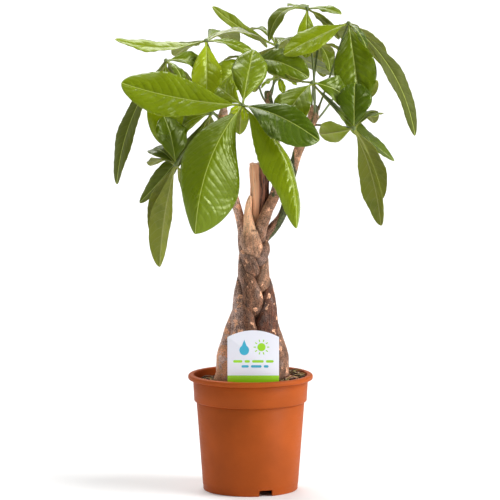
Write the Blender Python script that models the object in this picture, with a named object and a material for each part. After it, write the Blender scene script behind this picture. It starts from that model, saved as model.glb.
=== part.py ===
"""Potted braided money tree (Pachira aquatica).

Five young stems are plaited together and stand in a 130 mm nursery pot. One stem is sawn
off as a stub, one ends in a short stump, and three go on as shoots that carry the leaves.
Each leaf is a fan of leaflets on a thin stalk. All sizes are in metres, +Z is up, and the
origin is at the middle of the pot's base.
"""

import math

import bmesh
import bpy
from mathutils import Matrix, Vector, noise

# Clearance kept between pieces that touch
GAP = 0.0003
UP = Vector((0.0, 0.0, 1.0))

# Pot: a 130 mm injection-moulded nursery pot
POT_HEIGHT = 0.119
POT_SIDES = 32
WALL = 0.0013
LIP_RADIUS = 0.065
LIP_HEIGHT = 0.0052
COLLAR_RADIUS = 0.0592
STEP_HEIGHT = 0.093
STEP_RADIUS = 0.0560
BASE_RADIUS = 0.0492
FOOT_HEIGHT = 0.0020
FOOT_RING_INNER = 0.0435
CENTRE_FOOT_RADIUS = 0.0200
NOTCH_COUNT = 4
NOTCH_WIDTH = 0.0144
NOTCH_HEIGHT = 0.0064
NOTCH_TURN = math.radians(-71.0)

# Potting mix: slightly higher on the right, with a lumpy top
SOIL_LEVEL = 0.1105
SOIL_RISE = 0.0022
SOIL_LUMP = 0.0013
SOIL_LUMP_RATE = 90.0
SOIL_RINGS = 4
SOIL_SIDES = 26
SOIL_BOTTOM = 0.0045
SOIL_FOOT = 0.003
SOIL_STEP = 0.0018
SOIL_SEAT = 0.0006
# How far the hole for a stem runs on above the mix
HOLE_RUN = 0.030

# Plant label: an arched card with a pointed stake, just inside the front of the rim
LABEL_WIDTH = 0.053
LABEL_X = 0.0028
LABEL_Y = -0.0480
LABEL_THICKNESS = 0.0010
LABEL_BOTTOM = 0.1135
LABEL_SHOULDER = 0.1665
LABEL_TOP = 0.1735
STAKE_WIDTH = 0.013
STAKE_TIP = 0.070

# Plait: half of its width at each height; the stems run round a figure of eight
STEM_COUNT = 5
KNOTTED_STEM = 2
STEM_SIDES = 8
PLAIT_HALF_WIDTH = (
    (0.060, 0.0310), (0.110, 0.0385), (0.141, 0.0375), (0.168, 0.0300), (0.189, 0.0250),
    (0.210, 0.0208), (0.232, 0.0168), (0.262, 0.0165),
)
PLAIT_X = ((0.110, 0.0010), (0.168, 0.0014), (0.189, 0.0045), (0.262, 0.0038))
PLAIT_TWIST = math.radians(20.0)
KNOT_START = 0.238
KNOT_GROWTH = 0.30
REACH_SHARE = 0.59
THICKNESS_SHARE = 0.405
DEPTH_SHARE = 1.12
ROOT_END = 0.062
SOIL_LINE = 0.110
PLAIT_END = 0.262
PLAIT_STEPS = 20
TURN_LENGTH = 0.116
TURN_WIDTH = 0.0160
TURN_POWER = 1.15
LAST_TURN = math.radians(450.0)

# Leaves: leaflets with a folded blade, which thicken into a short stalk at the hub
LEAF_THICKNESS = 0.0009
STALK_THICKNESS = 0.0019
STALK_WIDTH = 0.0024
STALK_SHARE = 0.05
STALK_RADIUS = 0.0013
STALK_FOOT_RADIUS = 0.0017
STALK_SIDES = 5
STALK_STEPS = 5
# Extra room at the foot of a stalk, where the stem swells
STALK_SEAT = 0.0002
# How far a stalk climbs along its stem before it leans out, as a share of its length
CLIMB = 0.06
# How far it leans out, and how far along it bends over, as shares of its length
STALK_LEAN = 0.16
STALK_ELBOW = 0.62
HUB_RADIUS = 0.0024
# Cross-sections: one for each stretch this long, within the two limits
BLADE_STRETCH = 0.014
BLADE_STEPS_LEAST = 3
BLADE_STEPS_MOST = 6
# Outline: widest past the middle, and fuller than a plain arch
BLADE_SKEW = 1.34
BLADE_FULLNESS = 0.8
# How far each half of a blade is folded up from its rib
FOLD = math.radians(11.0)
# Waved edges
WAVE_HEIGHT = 0.0011
WAVES = 2.5


def clear_scene():
    """Remove every object of the open file."""
    for item in list(bpy.data.objects):
        bpy.data.objects.remove(item, do_unlink=True)


def surface(name, colour, roughness):
    """One Principled material."""
    made = bpy.data.materials.new(name)
    made.use_nodes = True
    shader = made.node_tree.nodes["Principled BSDF"]
    shader.inputs["Base Color"].default_value = (*colour, 1.0)
    shader.inputs["Roughness"].default_value = roughness
    shader.inputs["Metallic"].default_value = 0.0
    made.diffuse_color = (*colour, 1.0)
    return made


def solid(name, bm, finish):
    """Turn a bmesh into a named object that faces outwards."""
    bmesh.ops.recalc_face_normals(bm, faces=bm.faces)
    mesh = bpy.data.meshes.new(name)
    bm.to_mesh(mesh)
    bm.free()
    mesh.materials.append(finish)
    made = bpy.data.objects.new(name, mesh)
    bpy.context.scene.collection.objects.link(made)
    return made


def shade(made, angle=35.0):
    """Smooth shading with sharp edges past an angle."""
    made.data.shade_smooth()
    made.data.set_sharp_from_angle(angle=math.radians(angle))


def apply_modifiers(made):
    """Keep the evaluated mesh and drop the modifiers."""
    bpy.context.view_layer.update()
    graph = bpy.context.evaluated_depsgraph_get()
    mesh = bpy.data.meshes.new_from_object(made.evaluated_get(graph))
    made.modifiers.clear()
    made.data = mesh


def drop_scraps(made):
    """Keep the largest body of a mesh and drop the slivers that a Boolean leaves."""
    bm = bmesh.new()
    bm.from_mesh(made.data)
    bmesh.ops.remove_doubles(bm, verts=bm.verts, dist=1e-7)
    bodies = []
    waiting = set(bm.verts)
    while waiting:
        body = set()
        edge = [waiting.pop()]
        while edge:
            spot = edge.pop()
            body.add(spot)
            near = {link.other_vert(spot) for link in spot.link_edges} & waiting
            waiting -= near
            edge.extend(near)
        bodies.append(body)
    bodies.sort(key=len)
    for body in bodies[:-1]:
        bmesh.ops.delete(bm, geom=list(body), context="VERTS")
    bm.to_mesh(made.data)
    bm.free()


def cut(made, cutters, solver="EXACT"):
    """Boolean difference with each cutter, which is then removed."""
    for tool in cutters:
        step = made.modifiers.new("cut", "BOOLEAN")
        step.operation = "DIFFERENCE"
        step.solver = solver
        step.object = tool
    apply_modifiers(made)
    drop_scraps(made)
    for tool in cutters:
        bpy.data.objects.remove(tool, do_unlink=True)


def fuse(name, pieces):
    """Join overlapping solids into one, by one Boolean union on a collection."""
    trunk = pieces[0]
    group = bpy.data.collections.new(name + "_pieces")
    bpy.context.scene.collection.children.link(group)
    for piece in pieces[1:]:
        bpy.context.scene.collection.objects.unlink(piece)
        group.objects.link(piece)
    step = trunk.modifiers.new("union", "BOOLEAN")
    step.operation = "UNION"
    step.solver = "MANIFOLD"
    step.operand_type = "COLLECTION"
    step.collection = group
    apply_modifiers(trunk)
    drop_scraps(trunk)
    for piece in pieces[1:]:
        bpy.data.objects.remove(piece, do_unlink=True)
    bpy.data.collections.remove(group)
    trunk.name = name
    return trunk


def between(table, x):
    """Read a smooth value from a table of (x, value) rows."""
    if x <= table[0][0]:
        return table[0][1]
    for (x0, v0), (x1, v1) in zip(table, table[1:]):
        if x <= x1:
            share = (x - x0) / (x1 - x0)
            return v0 + (v1 - v0) * share
    return table[-1][1]


def turned(profile, sides):
    """Spin a closed outline of (radius, height) points round the Z axis."""
    bm = bmesh.new()
    points = [bm.verts.new((radius, 0.0, height)) for radius, height in profile]
    edges = [bm.edges.new(pair) for pair in zip(points, points[1:])]
    bmesh.ops.spin(
        bm, geom=points + edges, axis=UP, cent=(0, 0, 0), angle=math.tau, steps=sides,
        use_merge=True,
    )
    bmesh.ops.remove_doubles(bm, verts=bm.verts, dist=1e-6)
    return bm


def skin(rings):
    """Loft rings of points, each with the same count, into a tube with flat ends."""
    bm = bmesh.new()
    rows = [[bm.verts.new(point) for point in ring] for ring in rings]
    count = len(rows[0])
    for low, high in zip(rows, rows[1:]):
        for k in range(count):
            after = (k + 1) % count
            bm.faces.new((low[k], low[after], high[after]))
            bm.faces.new((low[k], high[after], high[k]))
    bmesh.ops.triangulate(bm, faces=[bm.faces.new(rows[0][::-1]), bm.faces.new(rows[-1])])
    return bm


def curve_through(points, steps):
    """Smooth path through hand-placed points (Catmull-Rom)."""
    spread = [2 * points[0] - points[1], *points, 2 * points[-1] - points[-2]]
    path = []
    for k in range(1, len(spread) - 2):
        a, b, c, d = spread[k - 1:k + 3]
        for n in range(steps):
            t = n / steps
            path.append(0.5 * (
                2 * b + (c - a) * t + (2 * a - 5 * b + 4 * c - d) * t * t
                + (3 * b - a - 3 * c + d) * t * t * t
            ))
    path.append(points[-1].copy())
    return path


def tube(path, radii, sides):
    """Round rod along a path; its rings are carried along without twisting."""
    rings = []
    across = None
    for k, point in enumerate(path):
        before = path[max(k - 1, 0)]
        after = path[min(k + 1, len(path) - 1)]
        along = (after - before).normalized()
        if across is None:
            across = along.orthogonal()
        across = (across - along * across.dot(along)).normalized()
        other = along.cross(across)
        ring = []
        for n in range(sides):
            turn = math.tau * n / sides
            ring.append(point + (across * math.cos(turn) + other * math.sin(turn)) * radii[k])
        rings.append(ring)
    return skin(rings)


# Pot


def inner_radius(height):
    """Radius of the pot's inner face at a height."""
    if height >= STEP_HEIGHT:
        share = (height - STEP_HEIGHT) / (POT_HEIGHT - STEP_HEIGHT)
        return COLLAR_RADIUS - 0.0008 - WALL + 0.0008 * share
    return BASE_RADIUS - WALL + (STEP_RADIUS - BASE_RADIUS) * height / STEP_HEIGHT


def build_pot(finish):
    """Turned shell: foot ring, tapered body, collar above a step, rolled lip."""
    top = POT_HEIGHT
    under_lip = top - LIP_HEIGHT
    floor = FOOT_HEIGHT + WALL
    outline = [
        (0.0, 0.0),
        (CENTRE_FOOT_RADIUS, 0.0),
        (CENTRE_FOOT_RADIUS + 0.002, FOOT_HEIGHT),
        (FOOT_RING_INNER, FOOT_HEIGHT),
        (FOOT_RING_INNER + 0.001, 0.0),
        (BASE_RADIUS - 0.0028, 0.0),
        (BASE_RADIUS - 0.0008, 0.0012),
        (BASE_RADIUS + 0.0001, 0.0040),
        (STEP_RADIUS, STEP_HEIGHT - 0.0010),
        (COLLAR_RADIUS - 0.0010, STEP_HEIGHT + 0.0010),
        (COLLAR_RADIUS, under_lip),
        (LIP_RADIUS - 0.0016, under_lip),
        (LIP_RADIUS - 0.0003, under_lip + 0.0014),
        (LIP_RADIUS, top - 0.0020),
        (LIP_RADIUS - 0.0012, top - 0.0004),
        (LIP_RADIUS - 0.0030, top),
        (COLLAR_RADIUS, top - 0.0002),
        (inner_radius(top), top - 0.0012),
        (inner_radius(STEP_HEIGHT + 0.0015), STEP_HEIGHT + 0.0015),
        (inner_radius(STEP_HEIGHT - 0.0010), STEP_HEIGHT - 0.0010),
        (inner_radius(floor), floor + 0.0020),
        (inner_radius(floor) - 0.0020, floor),
        (0.0, floor),
    ]
    made = solid("pot", turned(outline, POT_SIDES), finish)
    cutters = []
    for k in range(NOTCH_COUNT):
        turn = NOTCH_TURN + math.tau * k / NOTCH_COUNT
        bm = bmesh.new()
        bmesh.ops.create_cube(bm, size=1.0)
        size = Matrix.Diagonal((0.0120, NOTCH_WIDTH, 2 * NOTCH_HEIGHT, 1.0))
        place = Matrix.Rotation(turn, 4, "Z") @ Matrix.Translation((BASE_RADIUS, 0, 0)) @ size
        bmesh.ops.transform(bm, matrix=place, verts=bm.verts)
        cutters.append(solid("notch_cutter", bm, finish))
    cut(made, cutters)
    shade(made)
    return made


# Plaited stems


def plait_turns():
    """Angle of the plait at each height, slower where the stems are thick or rooted."""
    heights = [(PLAIT_END, LAST_TURN)]
    step = (PLAIT_END - ROOT_END) / PLAIT_STEPS
    for k in range(PLAIT_STEPS):
        height, turn = heights[-1]
        half = between(PLAIT_HALF_WIDTH, height)
        speed = math.tau / (TURN_LENGTH * (half / TURN_WIDTH) ** TURN_POWER)
        speed *= min(1.0, max(0.0, (height - ROOT_END) / (SOIL_LINE - ROOT_END)))
        heights.append((height - step, turn - speed * step))
    return heights[::-1]


def plait_path(number):
    """Points and radii of one stem, from its root end to the top of the plait."""
    path = []
    radii = []
    for height, turn in plait_turns():
        angle = turn + math.tau * number / STEM_COUNT
        half = between(PLAIT_HALF_WIDTH, height)
        reach = half * REACH_SHARE
        across = reach * math.sin(angle)
        deep = -reach * DEPTH_SHARE * math.sin(2 * angle)
        path.append(Vector((
            across * math.cos(PLAIT_TWIST) - deep * math.sin(PLAIT_TWIST) + between(PLAIT_X, height),
            across * math.sin(PLAIT_TWIST) + deep * math.cos(PLAIT_TWIST),
            height,
        )))
        swell = 1.0
        if number == KNOTTED_STEM and height > KNOT_START:
            swell += KNOT_GROWTH * (height - KNOT_START) / (PLAIT_END - KNOT_START)
        radii.append(half * THICKNESS_SHARE * swell)
    return path, radii


# Where each stem goes above the plait: (x, y, z, radius)
STEM_TOPS = {
    "stem_left": (3, (
        (-0.0085, 0.0060, 0.2750, 0.0052), (-0.0125, 0.0030, 0.2900, 0.0046),
        (-0.0185, -0.0010, 0.3120, 0.0044), (-0.0235, -0.0060, 0.3400, 0.0044),
        (-0.0265, -0.0110, 0.3700, 0.0046), (-0.0280, -0.0140, 0.3850, 0.0056),
        (-0.0280, -0.0150, 0.3950, 0.0046), (-0.0280, -0.0152, 0.4000, 0.0026),
    )),
    "stem_stump": (2, (
        (0.0005, -0.0110, 0.2700, 0.0078), (0.0005, -0.0085, 0.2800, 0.0056),
        (-0.0010, -0.0055, 0.2940, 0.0042), (-0.0026, -0.0035, 0.3080, 0.0024),
    )),
    "stem_stub": (1, (
        (0.0065, 0.0050, 0.2760, 0.0078), (0.0090, 0.0045, 0.2900, 0.0092),
        (0.0098, 0.0040, 0.3100, 0.0098), (0.0092, 0.0035, 0.3300, 0.0100),
        (0.0090, 0.0030, 0.3440, 0.0102),
    )),
    "stem_middle": (4, (
        (0.0125, -0.0080, 0.2740, 0.0068), (0.0180, -0.0070, 0.2900, 0.0060),
        (0.0265, -0.0020, 0.3120, 0.0052), (0.0310, 0.0090, 0.3400, 0.0044),
        (0.0285, 0.0210, 0.3700, 0.0038), (0.0215, 0.0310, 0.3980, 0.0036),
        (0.0180, 0.0350, 0.4110, 0.0034), (0.0178, 0.0352, 0.4150, 0.0020),
    )),
    "stem_right": (0, (
        (0.0235, 0.0020, 0.2740, 0.0056), (0.0340, 0.0040, 0.2900, 0.0042),
        (0.0415, 0.0050, 0.3170, 0.0038), (0.0480, 0.0050, 0.3400, 0.0044),
        (0.0545, 0.0050, 0.3580, 0.0050), (0.0620, 0.0050, 0.3780, 0.0044),
        (0.0640, 0.0050, 0.3870, 0.0054), (0.0655, 0.0050, 0.3960, 0.0050),
        (0.0660, 0.0050, 0.4020, 0.0026),
    )),
}


def stem_path(name):
    """Whole path of a stem: plait, then its hand-placed top."""
    number, top = STEM_TOPS[name]
    path, radii = plait_path(number)
    upper = curve_through([path[-2], path[-1], *(Vector(row[:3]) for row in top)], 2)[2:]
    sizes = [radii[-1], *(row[3] for row in top)]
    for k in range(len(top)):
        middle = (sizes[k] + sizes[k + 1]) / 2
        radii.extend((middle, sizes[k + 1]))
    path.extend(upper[1:])
    return path, radii


def build_stems(finish):
    """Five stems; where two press together the later one is hollowed to fit the first."""
    made = {}
    for name in STEM_TOPS:
        path, radii = stem_path(name)
        made[name] = solid(name, tube(path, radii, STEM_SIDES), finish)
    order = ("stem_stump", "stem_middle", "stem_right", "stem_left", "stem_stub")
    for place, name in enumerate(order):
        tools = []
        for earlier in order[:place]:
            path, radii = stem_path(earlier)
            wide = [radius + GAP for radius in radii]
            tools.append(solid("stem_cutter", tube(path, wide, STEM_SIDES), finish))
        if tools:
            cut(made[name], tools, "MANIFOLD")
        shade(made[name], 50.0)
    return made


# Potting mix


def soil_ring(radius, height, lumpy=False):
    """One ring of the plug; a ring of its top rises to the right and has lumps."""
    points = []
    for n in range(SOIL_SIDES):
        turn = math.tau * n / SOIL_SIDES
        spot = Vector((radius * math.cos(turn), radius * math.sin(turn), height))
        if lumpy:
            lump = noise.noise(spot * SOIL_LUMP_RATE) * SOIL_LUMP
            spot.z += SOIL_RISE * spot.x / BASE_RADIUS + lump
        points.append(spot)
    return points


def build_soil(finish):
    """Lumpy plug of mix that fills the pot, with holes for the stems and the label stake."""
    foot = SOIL_BOTTOM + SOIL_FOOT
    step = STEP_HEIGHT - SOIL_STEP
    under_step = inner_radius(step) - SOIL_SEAT
    placed = [
        soil_ring(inner_radius(SOIL_BOTTOM) - SOIL_SEAT - SOIL_FOOT, SOIL_BOTTOM),
        soil_ring(inner_radius(foot) - SOIL_SEAT, foot),
        soil_ring(under_step, step),
        soil_ring(under_step, STEP_HEIGHT + SOIL_STEP),
    ]
    rim = inner_radius(SOIL_LEVEL) - SOIL_SEAT
    for k in range(SOIL_RINGS):
        placed.append(soil_ring(rim * (1.0 - k / SOIL_RINGS), SOIL_LEVEL, lumpy=True))
    made = solid("potting_mix", skin(placed), finish)
    holes = []
    for name in STEM_TOPS:
        path, radii = stem_path(name)
        low = [point for point in path if point.z < SOIL_LEVEL + HOLE_RUN]
        wide = [radius + GAP for radius in radii[:len(low)]]
        low[0] = low[0] - (low[1] - low[0]).normalized() * GAP
        holes.append(solid("hole_cutter", tube(low, wide, STEM_SIDES), finish))
    holes.append(label_plate("slot_cutter", GAP, finish))
    cut(made, holes, "MANIFOLD")
    shade(made, 40.0)
    return made


# Label


def label_plate(name, extra, finish):
    """Arched card with a stake, grown on every side by extra."""
    half = LABEL_WIDTH / 2 + extra
    stake = STAKE_WIDTH / 2 + extra
    bottom = LABEL_BOTTOM - extra
    outline = [
        (-half, bottom), (-stake, bottom), (-stake, STAKE_TIP + STAKE_WIDTH * 0.6),
        (0.0, STAKE_TIP - extra), (stake, STAKE_TIP + STAKE_WIDTH * 0.6), (stake, bottom),
        (half, bottom), (half, LABEL_SHOULDER),
    ]
    rise = LABEL_TOP - LABEL_SHOULDER
    for k in range(1, 12):
        turn = math.pi * k / 12
        outline.append((half * math.cos(turn), LABEL_SHOULDER + (rise + extra) * math.sin(turn)))
    outline.append((-half, LABEL_SHOULDER))
    bm = bmesh.new()
    front = LABEL_Y - LABEL_THICKNESS / 2 - extra
    face = bm.faces.new([bm.verts.new((LABEL_X + x, front, z)) for x, z in outline])
    grown = bmesh.ops.extrude_face_region(bm, geom=[face])
    moved = [item for item in grown["geom"] if isinstance(item, bmesh.types.BMVert)]
    bmesh.ops.translate(bm, verts=moved, vec=(0, LABEL_THICKNESS + 2 * extra, 0))
    return solid(name, bm, finish)


# Leaves


def leaflet(tip, width, rise=0.010, roll=0.0, sway=0.0, twist=0.0, fold=FOLD):
    """One leaflet: where it ends and how it bends.

    rise is how far the middle stands off the straight line from hub to tip, on the upper
    side; sway is the same to the right; roll and twist, in degrees, turn the upper face to
    the right, at once and by degrees along the blade.
    """
    return {
        "tip": Vector(tip), "width": width, "rise": rise, "roll": math.radians(roll),
        "sway": sway, "twist": math.radians(twist), "fold": fold,
    }


def blade_outline(share):
    """Half width of a leaflet along its length, as a share of its greatest half width."""
    blade_share = max(0.0, share - STALK_SHARE) / (1.0 - STALK_SHARE)
    return max(0.0, math.sin(math.pi * blade_share ** BLADE_SKEW)) ** BLADE_FULLNESS


def blade_steps(hub, shape):
    """How many stretches a leaflet is divided into."""
    wanted = round((shape["tip"] - hub).length / BLADE_STRETCH)
    return max(BLADE_STEPS_LEAST, min(BLADE_STEPS_MOST, wanted))


def blade_rings(hub, shape, steps):
    """Cross-sections of one leaflet: left edge, rib and right edge, above and below."""
    chord = shape["tip"] - hub
    along = chord.normalized()
    top = (UP - along * along.z).normalized()
    top = Matrix.Rotation(shape["roll"], 3, along) @ top
    right = along.cross(top)
    start = hub + along * HUB_RADIUS * 0.4
    middle = (start + shape["tip"]) / 2 + top * shape["rise"] * 2 + right * shape["sway"] * 2
    rings = []
    for k in range(steps + 1):
        t = k / steps
        point = start * (1 - t) ** 2 + middle * 2 * t * (1 - t) + shape["tip"] * t * t
        slope = ((middle - start) * (1 - t) + (shape["tip"] - middle) * t).normalized()
        side = (right - slope * right.dot(slope)).normalized()
        side = Matrix.Rotation(shape["twist"] * t, 3, slope) @ side
        face = side.cross(slope)
        half = max(shape["width"] / 2 * blade_outline(t), STALK_WIDTH / 2 * (1 - 0.6 * t))
        thick = LEAF_THICKNESS + (STALK_THICKNESS - LEAF_THICKNESS) * max(0.0, 1 - t * steps)
        wave = WAVE_HEIGHT * math.sin(math.tau * WAVES * t) * blade_outline(t)
        lift = half * math.sin(shape["fold"])
        reach = half * math.cos(shape["fold"])
        left_edge = point - side * reach + face * (lift + wave)
        right_edge = point + side * reach + face * (lift - wave)
        under = face * thick
        rings.append((
            left_edge, point, right_edge,
            right_edge - under, point - under, left_edge - under,
        ))
    return rings


def blade(hub, shape):
    """Closed thin solid of one leaflet, split into triangles alike on both faces."""
    bm = bmesh.new()
    rings = blade_rings(hub, shape, blade_steps(hub, shape))
    rows = [[bm.verts.new(spot) for spot in ring] for ring in rings]
    for low, high in zip(rows, rows[1:]):
        for edge, rib in ((0, 1), (2, 1), (3, 4), (5, 4)):
            bm.faces.new((low[rib], low[edge], high[edge]))
            bm.faces.new((low[rib], high[edge], high[rib]))
        for a, b in ((2, 3), (5, 0)):
            bm.faces.new((low[a], low[b], high[b]))
            bm.faces.new((low[a], high[b], high[a]))
    for row in (rows[0], rows[-1]):
        bm.faces.new((row[0], row[1], row[4], row[5]))
        bm.faces.new((row[1], row[2], row[3], row[4]))
    bmesh.ops.triangulate(bm, faces=[face for face in bm.faces if len(face.verts) > 3])
    return bm


def stalk_foot(stem, height, turn):
    """Point beside a stem at a height, on the side that a compass turn in degrees gives."""
    path, radii = stem_path(stem)
    for k in range(len(path) - 1):
        if path[k].z <= height <= path[k + 1].z:
            share = (height - path[k].z) / (path[k + 1].z - path[k].z)
            centre = path[k].lerp(path[k + 1], share)
            radius = max(radii[k], radii[k + 1])
            along = (path[k + 1] - path[k]).normalized()
            break
    heading = Vector((math.cos(math.radians(turn)), math.sin(math.radians(turn)), 0.0))
    out = (heading - along * heading.dot(along)).normalized()
    return centre + out * (radius + GAP + STALK_SEAT), out


def stalk(stem, height, turn, hub, lift, climb):
    """Leaf stalk from a stem's side up to the hub; climb is how far it rises first."""
    foot, out = stalk_foot(stem, height, turn)
    reach = (hub - foot).length
    bend_low = foot + out * reach * STALK_LEAN + UP * reach * climb
    bend_high = foot.lerp(hub, STALK_ELBOW) + UP * lift
    path = []
    for k in range(STALK_STEPS + 1):
        t = k / STALK_STEPS
        path.append(
            foot * (1 - t) ** 3 + bend_low * 3 * t * (1 - t) ** 2
            + bend_high * 3 * t * t * (1 - t) + hub * t ** 3
        )
    path.insert(1, foot + out * STALK_RADIUS)
    radii = [STALK_FOOT_RADIUS, STALK_FOOT_RADIUS] + [STALK_RADIUS] * (len(path) - 2)
    return tube(path, radii, STALK_SIDES)


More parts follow.
